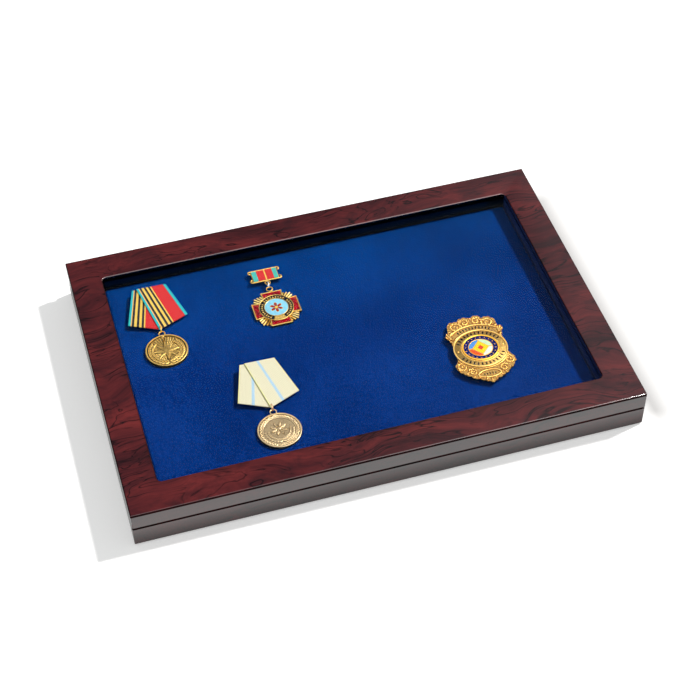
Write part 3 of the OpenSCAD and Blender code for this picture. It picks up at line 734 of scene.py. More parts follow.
def enamel(name, c, deep, scale, ripple):
    """Glossy enamel with small flecks of deeper colour."""
    m, t, s = new_material(name)
    flecks = noise(t, object_place(t), scale, 3.0)
    c = mix(t, spread(t, flecks, 0.35, 0.65), colour(*deep), colour(*c))
    set_inputs(t, s, Base_Color=c, Roughness=0.2, Specular_IOR_Level=0.2,
               Normal=bump(t, flecks, ripple, 0.0004))
    return m


def cloth_place(t):
    return node(t, "ShaderNodeUVMap", {"uv_map": "cloth"}).outputs[0]


def ribbon_silk(name, stripes, width):
    """Woven ribbon; stripes are (where each starts in millimetres, colour) across its width."""
    m, t, s = new_material(name)
    uv = cloth_place(t)
    thread = use_group(t, THREAD, Place=uv, Ribs=RIBS)
    wobble = times(t, minus(t, noise(t, uv, 9.0), 0.5), 0.012)
    across = plus(t, axes(t, uv)["X"], wobble)
    c = ramp(t, across, [(at / width, c) for at, c in stripes], "CONSTANT")
    set_inputs(t, s, Base_Color=shade(t, c, thread["Tone"]), Roughness=0.62, Specular_IOR_Level=0.25,
               Sheen_Weight=0.15, Sheen_Roughness=0.4, Normal=bump(t, thread["Height"], 0.5, 0.00025))
    return m


def enamel_picture(name, roughness=0.2):
    """Enamel drawn on a map of places, 10 mm per unit; returns also the places and a finishing step."""
    m, t, s = new_material(name)
    uv = cloth_place(t)
    flecks = noise(t, object_place(t), 500.0, 3.0)

    def close(c, wire):
        c = mix(t, wire, shade(t, c, spread(t, flecks, 0.3, 0.7, 0.88, 1.08)), colour(250, 205, 95))
        set_inputs(t, s, Base_Color=c, Metallic=wire, Roughness=roughness)
        return m
    return t, uv, axes(t, uv), close


def seal_enamel():
    """The badge's middle: a lozenge on four fields, divided by fine gold wires."""
    t, _, xy, close = enamel_picture("quartered_enamel")
    ax, ay = calc(t, "ABSOLUTE", xy["X"]), calc(t, "ABSOLUTE", xy["Y"])
    right, upper = calc(t, "GREATER_THAN", xy["X"], 0.0), calc(t, "GREATER_THAN", xy["Y"], 0.0)
    top = mix(t, right, colour(70, 150, 235), colour(206, 232, 190))
    low = mix(t, right, colour(244, 88, 20), colour(238, 236, 222))
    c = mix(t, upper, low, top)
    diamond = plus(t, calc(t, "DIVIDE", ax, 0.62), calc(t, "DIVIDE", ay, 0.66))
    c = mix(t, calc(t, "LESS_THAN", diamond, 1.0), c, colour(250, 218, 0))
    c = mix(t, calc(t, "LESS_THAN", diamond, 0.38), c, colour(230, 60, 25))
    wire = calc(t, "LESS_THAN", calc(t, "ABSOLUTE", minus(t, diamond, 1.0)), 0.07)
    cross = times(t, calc(t, "LESS_THAN", calc(t, "MINIMUM", ax, ay), 0.035),
                  calc(t, "GREATER_THAN", diamond, 1.0))
    return close(c, larger(t, wire, cross))


def petal_enamel():
    """The pendant's middle: pale blue with a six-petal flower in crimson and gold."""
    t, uv, xy, close = enamel_picture("flower_enamel", 0.18)
    r = vector_calc(t, "LENGTH", i0=uv)["Value"]
    a = calc(t, "ARCTAN2", xy["X"], xy["Y"])
    petals = calc(t, "ABSOLUTE", calc(t, "COSINE", times(t, a, 3.0)))
    reach = plus(t, 0.1, times(t, calc(t, "POWER", petals, 0.7), 0.4))
    edge = minus(t, reach, r)
    c = mix(t, calc(t, "GREATER_THAN", edge, 0.0), colour(140, 214, 244), colour(150, 16, 26))
    wire = use_group(t, BAND, Value=edge, Low=-0.02, High=0.035, Edge=0.012)["Mask"]
    return close(c, larger(t, wire, calc(t, "LESS_THAN", r, 0.13)))


# Camera, light and floor

def set_camera():
    data = bpy.data.cameras.new("camera")
    data.lens = LENS
    data.sensor_width = SENSOR
    data.shift_x, data.shift_y = SHIFT
    data.clip_start, data.clip_end = 0.05, 50.0
    o = bpy.data.objects.new("camera", data)
    o.location = CAMERA_AT
    o.rotation_euler = Euler([math.radians(a) for a in CAMERA_TURN], "XYZ")
    bpy.context.scene.collection.objects.link(o)
    bpy.context.scene.camera = o


def seen_directly(t, path):
    """1 for what the camera sees, also through the pane."""
    return larger(t, path["Is Camera Ray"], path["Is Transmission Ray"])


def set_lights():
    """The key, and a sky whose reflection is darker at the back than in front."""
    key = bpy.data.lights.new("key", "SUN")
    key.energy = KEY_STRENGTH
    key.angle = math.radians(KEY_SIZE)
    key.color = (1.0, 0.985, 0.96)
    o = bpy.data.objects.new("key", key)
    o.rotation_mode = "QUATERNION"
    o.rotation_quaternion = Vector(KEY_TRAVEL).to_track_quat("-Z", "Y")
    bpy.context.scene.collection.objects.link(o)
    world = bpy.data.worlds.new("studio")
    bpy.context.scene.world = world
    world.use_nodes = True
    t = world.node_tree
    t.nodes.clear()
    out = t.nodes.new("ShaderNodeOutputWorld")
    path = node(t, "ShaderNodeLightPath").outputs
    way = axes(t, node(t, "ShaderNodeTexCoord").outputs["Generated"])
    right = spread(t, minus(t, way["X"], times(t, way["Y"], 0.6)), -0.23, -0.03, *BACK_SKY)
    back = spread(t, way["Z"], 0.1, 0.5, 1.0, right)
    front = times(t, spread(t, way["Z"], 0.1, 0.6, 1.0, FRONT_SKY),
                  spread(t, way["X"], -0.1, 0.35, 0.4, 1.1))
    gloss = between(t, spread(t, way["Y"], 0.25, -0.15), back, front)
    strength = larger(t, between(t, path["Is Glossy Ray"], FILL, gloss), seen_directly(t, path))
    white = node(t, "ShaderNodeBackground", Color=(1.0, 1.0, 1.0, 1.0), Strength=strength)
    t.links.new(white.outputs[0], out.inputs["Surface"])


def set_floor():
    """A white floor that keeps the shadow. Seen directly it is a little brighter, as the backdrop was, but
    for a painted shadow, a soft dark edge along the case's right side; in reflections it is a glow that
    darkens towards the case, a painted contact shadow."""
    h = FLOOR_HALF / MM
    m, t, s = new_material("white_floor")
    path = node(t, "ShaderNodeLightPath").outputs
    at = axes(t, object_place(t))
    beside = minus(t, calc(t, "ABSOLUTE", at["X"]), cad_high[0])
    before = minus(t, calc(t, "ABSOLUTE", at["Y"]), cad_high[1])
    past = minus(t, at["X"], cad_high[0] + FLOOR_PAINTED_SHADE_REACH)
    off = node(t, "ShaderNodeCombineXYZ", X=larger(t, past, 0.0), Y=larger(t, plus(t, before, 0.01), 0.0))
    distance = vector_calc(t, "LENGTH", i0=off.outputs[0])["Value"]
    # Painted shadow: along the case's right side the floor's colour is dimmed and its glow cut
    level = times(t, spread(t, before, -0.002, -0.02), calc(t, "GREATER_THAN", at["X"], 0.0))
    painted_light_on_right = larger(t, spread(t, past, -FLOOR_PAINTED_SHADE_REACH, 0.0), level)
    painted_floor_shadow = times(t, spread(t, distance, 0.0, 0.016, 0.28, 0.0), painted_light_on_right)
    glow_cut_by_painted_shadow = times(t, spread(t, distance, 0.002, 0.03, FLOOR_GLOW, 0.0), painted_light_on_right)
    base = times(t, times(t, minus(t, 1.0, painted_floor_shadow), 0.9), minus(t, 1.0, path["Is Glossy Ray"]))
    white = node(t, "ShaderNodeCombineColor", Red=base, Green=base, Blue=base).outputs[0]
    # Painted contact shadow: in reflections the floor's glow darkens towards the case
    near = spread(t, larger(t, beside, before), 0.001, FLOOR_PAINTED_SHADE_REACH, *FLOOR_GLOSS_GLOW_PAINTED_SHADE)
    glow = plus(t, times(t, seen_directly(t, path), minus(t, FLOOR_GLOW, glow_cut_by_painted_shadow)),
                times(t, path["Is Glossy Ray"], near))
    set_inputs(t, s, Base_Color=white, Roughness=0.9, Specular_IOR_Level=0.0,
               Emission_Color=(0.985, 1.0, 0.99, 1.0), Emission_Strength=glow)
    new_object("floor", [(-h, -h, 0), (h, -h, 0), (h, h, 0), (-h, h, 0)], [(0, 1, 2, 3)], [m])


# Putting pieces in

def finish(o, body, slot, *stands_for):
    """The last step of a piece: the body it rides on and the nodes it stands for, which are hidden; the
    slot is not used.
    """
    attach(o, body)
    if stands_for:
        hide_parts(*stands_for)
    return o


def low_of(name):
    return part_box(name)[0] / MM


def high_of(name):
    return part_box(name)[1] / MM


def middle(name):
    return (low_of(name) + high_of(name)) / 2


def window_half():
    """Half the window's width and depth, in millimetres; the retainer reaches past it all round."""
    outer = high_of("glass_retainer")
    return outer.x - RETAINER_PAST_WINDOW, outer.y - RETAINER_PAST_WINDOW


def copy_of_node(name, new_name):
    """A merged copy of a CAD node's mesh, smoothed over its round edges."""
    o = bpy.data.objects.new(new_name, cad[name].data.copy())
    bpy.context.scene.collection.objects.link(o)
    b = bmesh.new()
    b.from_mesh(o.data)
    bmesh.ops.remove_doubles(b, verts=b.verts, dist=2e-6)
    bmesh.ops.dissolve_degenerate(b, edges=b.edges, dist=1e-6)
    b.to_mesh(o.data)
    b.free()
    smooth(o, 35)
    return o


# The case

def dress_frame(name, body):
    """A lid or base frame: lacquered on top and sides, with a painted highlight on the front edges and
    painted shade on the other top edges, black in the window, and painted shade in the parting line and
    under the lower edge."""
    half_x, half_y = window_half()
    top, inside = (TOP_LACQUER, BLACK_LACQUER) if body == "lid" else (BESIDE_PAD, RAW_BOARD)
    surfaces = [top, SHADED_SIDE_LACQUER, BLACK_LACQUER, RAW_BOARD, PAINTED_HIGHLIGHT_EDGE, PAINTED_SHADE_EDGE]
    o = even_normals(copy_of_node(name, name + "_lacquered"))
    o.data.materials.clear()
    for m in surfaces:
        o.data.materials.append(m)
    low, high = low_of(name), high_of(name)
    for p in o.data.polygons:
        c, n = p.center / MM, p.normal
        past_window = max(abs(c.x) - half_x, abs(c.y) - half_y)
        depth = high.z - c.z
        rim = abs(c.x) > high.x - 1 or c.y < low.y + 1
        upright = abs(n.z) < 0.3
        if n.z < -0.9:
            surface = inside if c.z > low.z + 0.1 else top
        elif upright and past_window < 0.3:
            surface = BLACK_LACQUER
        elif upright and past_window < REBATE_REACH and depth > 3:
            surface = inside
        # Painted shade on the rim's lower faces and the base's parting line; on the top edges a painted
        # highlight in front and painted shade elsewhere
        elif rim and (n.z < -0.2 or body == "base" and depth < 0.85):
            surface = PAINTED_SHADE_EDGE
        elif depth < 0.95 and 0.04 < n.z < 0.985:
            front = n.y < -0.1 and (n.z > 0.72 or not rim)
            surface = PAINTED_HIGHLIGHT_EDGE if front else PAINTED_SHADE_EDGE
        else:
            surface = SHADED_SIDE_LACQUER if abs(n.z) < 0.75 else top
        p.material_index = surfaces.index(surface)
    return finish(o, body, "lacquered_wood", name)


def rounded_rect(half_x, half_y, r, per_corner=8, per_side=12):
    """An anticlockwise rectangle with round corners and points along its sides."""
    points = []
    ends = ((half_x, half_y - r), (r - half_x, half_y), (-half_x, r - half_y), (half_x - r, -half_y))
    for k, (sx, sy) in enumerate(((1, -1), (1, 1), (-1, 1), (-1, -1))):
        cx, cy = sx * (half_x - r), sy * (half_y - r)
        for i in range(per_corner + 1):
            a = math.radians(-90 + 90 * k + 90 * i / per_corner)
            points.append((cx + r * math.cos(a), cy + r * math.sin(a)))
        (x0, y0), (x1, y1) = points[-1], ends[k]
        points += [(x0 + (x1 - x0) * i / per_side, y0 + (y1 - y0) * i / per_side)
                   for i in range(1, per_side)]
    return points


def velvet_pad():
    """Velvet wrapped over the foam: flat face, rounded edges, sides, and a hem turned under the board."""
    low, high = low_of("velvet_cover"), high_of("velvet_cover")
    r, under, hem = 1.8, 0.8, 14.0
    quarter = np.linspace(0, math.pi / 2, 8)
    levels = [(k, high.z) for k in (100.0, 70.0, 40.0, 20.0, 10.0, 5.0, 3.0)]
    levels += [(r - r * math.sin(a), high.z - r + r * math.cos(a)) for a in quarter]
    levels += [(0.05, high.z - 6), (0.0, low.z + 6)]
    levels += [(under - under * math.cos(a), low.z + under - under * math.sin(a)) for a in quarter]
    levels += [(hem * 0.5, low.z), (hem, low.z)]
    loops = [[(x, y, z) for x, y in rounded_rect(high.x - d, high.y - d, max(3.0 - d, 0.4))]
             for d, z in levels]
    points, faces = loft(loops, closed=False)
    faces.append(tuple(range(len(loops[0]))))
    o = thicken(Shape().add(points, faces).object("velvet_wrap", [VELVET], 60), 0.6, -1.0)
    return finish(o, "base", "velvet", "velvet_cover")


# The ribbons

RIBBON_COLUMNS, RIBBON_ROWS = 40, 44


def ribbon_half(side, z):
    """One half of a folded ribbon: tucked under at the tip and at the top, its face in front.
    Gives points, how many rows, and the places on the cloth."""
    curl = 0.22
    tip, shoulder = np.array([-1.0, RIBBON_LOW]), np.array([22.8, RIBBON_LOW + 10.1])
    top_in, top_out = np.array([-9.6, RIBBON_TOP]), np.array([13.1, RIBBON_TOP])
    turn = np.linspace(-math.pi / 2, math.pi / 2, 7)
    steps = [(0.12, None, 1), (0.06, None, 1)] + [(0.0, a, 1) for a in turn]
    steps += [(k, math.pi / 2, 0) for k in np.linspace(0, 1, RIBBON_ROWS)[1:-1]]
    steps += [(1.0, a, -1) for a in turn[::-1]] + [(0.96, None, -1), (0.92, None, -1)]
    points, cloth = [], []
    for k, a, way in steps:
        for c in np.linspace(0, 1, RIBBON_COLUMNS):
            low, high = tip + (shoulder - tip) * c, top_in + (top_out - top_in) * c
            away = (high - low) / np.linalg.norm(high - low)
            p = low + (high - low) * k
            up = -curl
            if a is not None:
                p = p + away * curl * (1 - math.cos(a)) * way
                up = curl * math.sin(a)
            if up > 0:
                up += math.sin(math.pi * k) * (0.1 * math.sin(math.pi * c) + 0.05 * math.sin(7 * k + 3 * c))
            points.append((p[0] * side, p[1], z + up))
            cloth.append((c if side > 0 else 1 - c, k * 2.3 if a is not None else k * 2.3 - 0.3))
    return points, len(steps), cloth


def folded_ribbon(name, link, tilt, material, slot, node_name):
    """A medal ribbon folded to five sides, its left half behind and its right half in front."""
    at = middle(link)
    move = place(at.x, at.y, high_of("velvet_cover").z + RIBBON_LIFT, 0.0, tilt, RIBBON_ROLL)
    points, faces, cloth = [], [], []
    for side, z in ((-1, 0.4), (1, 1.2)):
        p, rows, c = ribbon_half(side, z)
        faces += grid_faces(rows, RIBBON_COLUMNS, len(points), side < 0)
        points += [move @ Vector(q) for q in p]
        cloth += c
    o = thicken(cloth_object(name, points, faces, cloth, material), 0.3, 0.0)
    return finish(o, "base", slot, node_name)


# The hanging pieces

def add_eyelet(shape, x, y):
    """The wire ring that a hanging piece hangs by, and its neck; y is its upper end."""
    z = high_of("velvet_cover").z + 1.55
    y -= EYELET_R + EYELET_WIRE
    shape.add(*torus((x, y, z), EYELET_R, EYELET_WIRE))
    low, high = y - EYELET_R - 1.6, y - EYELET_R
    neck = [(x - 1, low), (x + 1, low), (x + 1, high), (x - 1, high)]
    shape.add(*plate(neck, [(0.0, z - EYELET_WIRE), (0.0, z + 0.2), (0.3, z + EYELET_WIRE)]))


def laurel(x, y, radius, start, end, count, length, width):
    """Leaves in two rows along an arc between angles in degrees; they point along it."""
    h = np.zeros_like(x)
    way = 1 if end > start else -1
    for k in range(count):
        a = math.radians(start + (end - start) * k / (count - 1))
        for s in (-1, 1):
            r = radius + s * width * 0.62
            lean = math.radians(90) * way - s * way * 0.45
            h = np.maximum(h, leaf(x, y, r * math.cos(a), r * math.sin(a), a + lean, length, width))
    return h


def gold_medal_height(x, y):
    """Rim, fine rays, an eight-ray star on a laurel wreath, and a boss."""
    r, a = np.hypot(x, y), np.arctan2(y, x)
    rays = 0.2 * np.sin(a * 40) * step(4, 6, r) * step(14.3, 13.4, r)
    ground = 1.55 + rays + 0.1 * np.sin(x * 3.9) * np.sin(y * 4.3)
    wreath = highest(*[laurel(x, y, 11.6, *ends, 12, 4.2, 1.9) for ends in ((-100, -222), (-80, 42))])
    slanting, upright = star_height(x, y, 4, 10.4, 2.9, 45), star_height(x, y, 4, 14.2, 3.1, 90)
    h = highest(ground, 1.6 + 0.85 * wreath, 1.6 + np.clip(slanting * 0.95, 0, 0.85),
                1.6 + np.clip(upright, 0, 1.0), 1.6 + 0.95 * dome((r / 2.4) ** 2),
                1.6 + 0.6 * ridge(r, 3.6, 0.5), 1.55 + 1.0 * step(14.55, 14.95, r))
    return h - rounded_rim(r)


def rounded_rim(r):
    """How much a medal's outer edge is taken down."""
    return 0.25 * step(MEDAL_R - 0.35, MEDAL_R, r)


def pale_medal_height(x, y):
    """Rim, inner line, an eight-petal flower and two olive branches."""
    r, a = np.hypot(x, y), np.arctan2(y, x)
    base, up = 1.7, 1.6
    ground = base + 0.05 * np.sin(x * 4.1) * np.sin(y * 3.7)
    border = step(12.4, 12.7, r) * step(14.5, 14.2, r)
    leaves = border * (0.3 + 0.3 * np.sin(a * 36 + 2 * np.sin(a * 5)) * np.sin(r * 3.4 + 1))
    turns = [math.radians(45 * k + 22.5) for k in range(8)]
    flower = highest(*[leaf(x, y, 3.8 * math.cos(t), up + 3.8 * math.sin(t), t, 4.8, 2.2) for t in turns])
    branch = highest(*[laurel(x, y, 9.2, *ends, 8, 3.6, 1.7) for ends in ((-97, -175), (-83, -5))])
    h = highest(np.maximum(ground, base + 0.35 * ridge(r, 11.9, 0.4)) + leaves, base + 0.8 * flower,
                base + 0.8 * dome((x * x + (y - up) ** 2) / 2.6), base + 0.7 * branch,
                base + 0.75 * step(14.6, 14.95, r))
    return h - rounded_rim(r)


def round_medal(name, link, height, material, slot):
    """A struck round medal with its eyelet; gives its middle."""
    low, high = low_of(name), high_of(name)
    at = Vector((middle(link).x, low.y + MEDAL_R, low.z))
    shape = Shape()
    wear = struck(shape, lambda a: np.full_like(a, MEDAL_R), height, 320, 84, 0.04, place(*at))
    add_eyelet(shape, at.x, high.y)
    finish(mark_wear(shape.object(name + "_struck", [material], 50, False), wear), name, slot, name)
    return at


def pendant_arm(d=0.0):
    """Outline of one arm that points along +Y, flared to its end, moved inwards by d."""
    return inset([(-6.05, 0.0), (6.05, 0.0), (8.4, ARM_REACH), (-8.4, ARM_REACH)], d)


def add_ray(shape, half, reach, z, move):
    """One rounded ray of the fans, from below the ring outwards."""
    low = [(-half * 0.6, 8.0, 0), (half * 0.6, 8.0, 0), (half, reach, 0), (-half, reach, 0)]
    top = [(x, y, z) for x, y, _ in low]
    crest = [(0, 8.0, z + 0.6), (0, reach - 0.25, z + 0.6)]
    faces = [(0, 3, 2, 1), (0, 1, 5, 4), (1, 2, 6, 5), (2, 3, 7, 6), (3, 0, 4, 7),
             (4, 5, 8), (5, 6, 9, 8), (6, 7, 9), (7, 4, 8, 9)]
    shape.add(low + top + crest, faces, 2, move)


def pendant():
    """Cross with four enamelled arms, fans of rays between them, a beaded black ring and a pale middle."""
    ring, low = middle("pendant_link"), low_of("pendant_cross")
    at = Vector((ring.x, low.y + ARM_REACH, low.z))
    here = place(*at)
    shape, fields, face = Shape(), Shape(), Shape()
    rim = [[(x, y, z) for x, y in pendant_arm(d)] for d, z in (
        (0.0, 1.6), (0.0, 2.25), (0.2, 2.4), (0.7, 2.4), (0.85, 2.25), (0.85, 1.6))]
    field = [(-6.7, 11.5), (6.7, 11.5), (7.45, 16.95), (-7.45, 16.95)]
    fan = [(-4.4, 8), (4.4, 8), (4.9, 17.4), (0, 18.6), (-4.9, 17.4)]
    for turn in (0, 90, 180, 270):
        move = place(*at, turn)
        shape.add(*plate(pendant_arm(), [(0, 0), (0, 1.75), (0.15, 1.9)]), 0, move)
        shape.add(*loft(rim, ring=True), 0, move)
        fields.add(*plate(field, [(0, 1.8), (0, 2.1), (0.5, 2.22), (1.4, 2.28)]), 0, move)
        # The fan plates under the rays take a dark gold, painted shade in the gaps between the rays
        shape.add(*plate(fan, [(0, 0), (0, 0.7)]), 1, place(*at, turn + 45))
        for i in range(-2, 3):
            add_ray(shape, 0.64, 19.8 - 0.9 * abs(i), 1.0, place(*at, turn + 45 + i * 7.2))
    shape.add(*post(*at, at.z + 2.2, 13.3, 96))
    shape.add(*round_band(13.45, 13.45, 0.7, 2.35, 0.5), 0, here)
    shape.add(*round_band(9.4, 9.4, 0.5, 2.75, 0.3), 0, here)
    arc = np.radians(np.linspace(-112, -68, 9))
    tab = [(r * math.cos(a), r * math.sin(a)) for r, way in ((13.9, arc), (8.6, arc[::-1])) for a in way]
    shape.add(*plate(tab, [(0, 1.0), (0, 2.85), (0.25, 3.05)]), 0, here)
    add_eyelet(shape, ring.x, high_of("pendant_cross").y)
    gilt = shape.object("pendant_gilt", [GILT, GAP_SHADE_GILT, RAY_GOLD], 35)
    finish(mark_wear(gilt), "pendant", "gilt", "pendant_cross")
    finish(fields.object("pendant_red_fields", [CRIMSON], 50), "pendant", "red_enamel", "pendant_enamel")

    face.add(*oval_ring(12.9, 12.9, 3.9, [(0, 2.1), (0, 2.45), (0.5, 2.52), (1, 2.45), (1, 2.1)]), 0, here)
    face.add(*plate(oval(9.0, 9.0), [(0.0, 2.1), (0.0, 2.6), (0.5, 2.72)]), 1, here)
    o = face.object("pendant_middle", [BLACK_ENAMEL, petal_enamel()], 40)
    flat_places(o, at, 0.0)
    finish(o, "pendant", "pale_enamel", "pendant_centre")
    for k, start in enumerate((-56, 48, 150)):
        beads(f"pendant_ring_beads_{k}", "pendant", "gilt", GILT, place(at.x, at.y, at.z + 2.5),
              (11.1, 11.1), (0.42, 0.85, 0.25), 9, start, 84)
    beads("pendant_tab_beads", "pendant", "gilt", GILT, place(at.x, at.y, at.z + 3.0),
          (11.2, 11.2), (0.4, 0.6, 0.25), 5, -104, 28)


def pendant_bar():
    """Two rails with hooked ends on a plate, a lug for the jump ring, posts and pins, and the ribbon."""
    low, high = low_of("pendant_bar"), high_of("pendant_bar")
    ring = middle("pendant_link")
    bar_low, bar_high, z = ring.y + 4.4, high.y, high.z - 1.1
    quarter = np.linspace(0, math.pi / 2, 6)
    shape = Shape()
    for y, s in ((bar_low + 0.75, 1), (bar_high - 0.75, -1)):
        hook = [(11.0, 2.6), (11.75, 2.3)]
        hook += [(10.9 + 1.1 * math.cos(a), 1.1 - 1.1 * math.sin(a)) for a in quarter]
        path = [(-x, h) for x, h in hook] + [(x, 0.0) for x in (-6, -2, 2, 6)] + hook[::-1]
        shape.add(*tube([(ring.x + x, y + s * h, z) for x, h in path], 0.72, 12))
    backing = [(ring.x + x, y) for x, y in ((-10.4, bar_low + 0.4), (10.4, bar_low + 0.4),
                                            (10.4, bar_high - 0.4), (-10.4, bar_high - 0.4))]
    shape.add(*plate(backing, [(0, z - 0.75), (0, z - 0.25), (0.1, z - 0.15)]))
    shape.add(*torus((ring.x, ring.y + 2.2, ring.z + 0.6), 1.9, 0.5))
    pad, mid_y = high_of("velvet_cover").z, (bar_low + bar_high) / 2
    for x in (-7.5, 7.5):
        shape.add(*post(ring.x + x, mid_y, pad, z - 0.3, 1.4))
        shape.add(*post(ring.x + x, mid_y, low.z, pad + 1, 0.5))
    finish(mark_wear(shape.object("pendant_bar_rails", [GILT], 40)), "base", "gilt", "pendant_bar")

    width, y0, y1 = BAR_SILK_WIDTH, bar_low + 1.35, bar_high - 1.35
    columns, curl = 30, 0.3
    turn = np.linspace(-math.pi / 2, math.pi / 2, 6)
    rows = [(y0 + 3.0, -1)] + [(y0 + curl * (1 - math.cos(a)) - 0.1, math.sin(a)) for a in turn]
    rows += [(y, 1) for y in np.linspace(y0 + 0.8, y1 - 0.8, 8)]
    rows += [(y1 - curl * (1 - math.cos(a)) + 0.1, math.sin(a)) for a in turn[::-1]] + [(y1 - 3.0, -1)]
    points, cloth = [], []
    for y, k in rows:
        for u in np.linspace(0, 1, columns):
            up = 0.12 * math.sin(math.pi * (y - y0) / (y1 - y0)) if k > 0 else 0.0
            points.append((ring.x - width / 2 + width * u, y, z + 0.22 + curl * k + up))
            cloth.append((u, y / 20))
    silk = cloth_object("pendant_bar_silk", points, grid_faces(len(rows), columns), cloth, BAR_SILK)
    thicken(silk, 0.25, 0.0)
    finish(silk, "base", "bar_silk", "pendant_bar_ribbon")


# The badge

def badge_reach(a):
    """How far the badge reaches at each angle: lobes, shoulders and a point below, finely scalloped."""
    b = 18.6
    half = [(0, -b - 14.9), (5, -b - 11.9), (12, -b - 8.4), (20.5, -b - 0.9), (20, -10), (18, 0), (19, 10),
            (22.3, b - 0.8), (19, b + 2.4), (14, b + 5.9), (0, b + 11.4)]
    r = np.linspace(12, 38, 521)[:, None]
    x, y = np.abs(r * np.cos(a)), r * np.sin(a)
    inside = np.zeros(x.shape, bool)
    for (x0, y0), (x1, y1) in zip(half, half[1:]):
        inside |= (y >= y0) & (y < y1) & (x <= x0 + (x1 - x0) * (y - y0) / (y1 - y0))
    for cx, cy, cr in ((12.5, b + 5.9, 6.2), (4.5, b + 9.4, 5.4), (17.0, 4.6 - b, 5.5)):
        inside |= (x - cx) ** 2 + (y - cy) ** 2 <= cr * cr
    reach = np.where(inside, r, 0).max(0)
    lobes = 0.9 * np.abs(np.sin(a * 27)) ** 0.7 + 0.5 * np.sin(a * 14 + 1.0) ** 2
    return np.convolve(np.pad(reach, 3, mode="wrap"), np.ones(7) / 7, "valid") - 0.75 + lobes


# Curls as (curve, width) and leaves as (x, y, angle, length, width) on the badge's right half
BADGE_CURLS = [
    (spiral(12.6, 25.0, 4.7, 0.9, 200, -1.35), 1.15), (spiral(4.6, 28.2, 4.0, 0.8, -30, 1.3), 1.05),
    (spiral(18.3, 19.6, 2.7, 0.7, 250, 1.2), 0.85), (spiral(17.6, -14.6, 4.3, 0.9, 150, -1.4), 1.1),
    (spiral(11.8, -21.0, 3.2, 0.8, 40, 1.3), 0.95), (spiral(19.2, 10.5, 1.6, 0.6, 270, 1.1), 0.7),
    (spiral(19.2, -4.6, 1.7, 0.6, 90, -1.2), 0.7)]
BADGE_LEAVES = [
    (9.0, 31.4, 1.2, 4.2, 1.7), (0.9, 31.2, 1.57, 4.2, 1.6), (16.6, 28.3, 0.7, 4.0, 1.6),
    (20.9, 16.4, 0.4, 4.2, 1.6), (20.6, 6.8, 1.2, 4.6, 1.5), (18.9, 2.2, 1.5, 4.2, 1.4),
    (19.0, -8.3, 1.7, 4.2, 1.5), (21.4, -17.6, -0.6, 4.0, 1.7), (16.0, -21.8, -0.9, 4.6, 1.7),
    (8.2, -26.4, -1.0, 4.6, 1.6), (3.6, -30.0, -1.3, 4.6, 1.6), (0.0, -31.2, -1.57, 3.8, 1.8),
    (12.4, -25.9, -0.8, 3.6, 1.5), (8.8, 24.6, 2.2, 4.4, 1.7), (15.6, 20.6, 2.6, 3.6, 1.5)]


def badge_height(x, y):
    """Scrollwork: curls and leaves over a sunk ground, a plain curved band above the oval and a small oval
    below."""
    ax, ground = np.abs(x), 0.55
    curls = highest(*[along_curve(ax, y, curve, np.linspace(width, width * 0.7, len(curve)))
                      for curve, width in BADGE_CURLS])
    leaves = highest(*[leaf(ax, y, *one) for one in BADGE_LEAVES])
    h = highest(np.full_like(x, ground), ground + 1.25 * curls, 0.6 + 1.15 * leaves)
    h = h + 0.34 * np.sin(x * 3.0 + 1.6 * np.sin(y * 1.3)) * np.sin(y * 3.2 + 1.6 * np.sin(x * 1.1))
    k = np.hypot(x, y - BAND_MIDDLE_Y)
    on_band = (k > 22.8) & (k < 28.6) & (y > 13.6) & (ax < 19.5)
    edge = np.minimum(ridge(k, 23.0, 0.5) + ridge(k, 28.4, 0.5), 1) * (y > 13.0) * (ax < 20)
    ends = step(17.6, 18.1, ax) * on_band * step(19.6, 19.1, ax)
    h = highest(np.where(on_band, BAND_RISE, h), BAND_RISE + 0.5 * edge, BAND_RISE + 0.5 * ends)
    small = np.hypot(x / 8.0, (y - SMALL_OVAL_Y) / 3.4)
    h = highest(np.where(small < 1.0, SMALL_OVAL_RISE, h), SMALL_OVAL_RISE + 0.5 * ridge(small, 1.05, 0.12),
                1.1 + 0.6 * ridge(np.hypot(x / 20.4, y / 18.6), 1.02, 0.035))
    return np.minimum(h, 2.35)


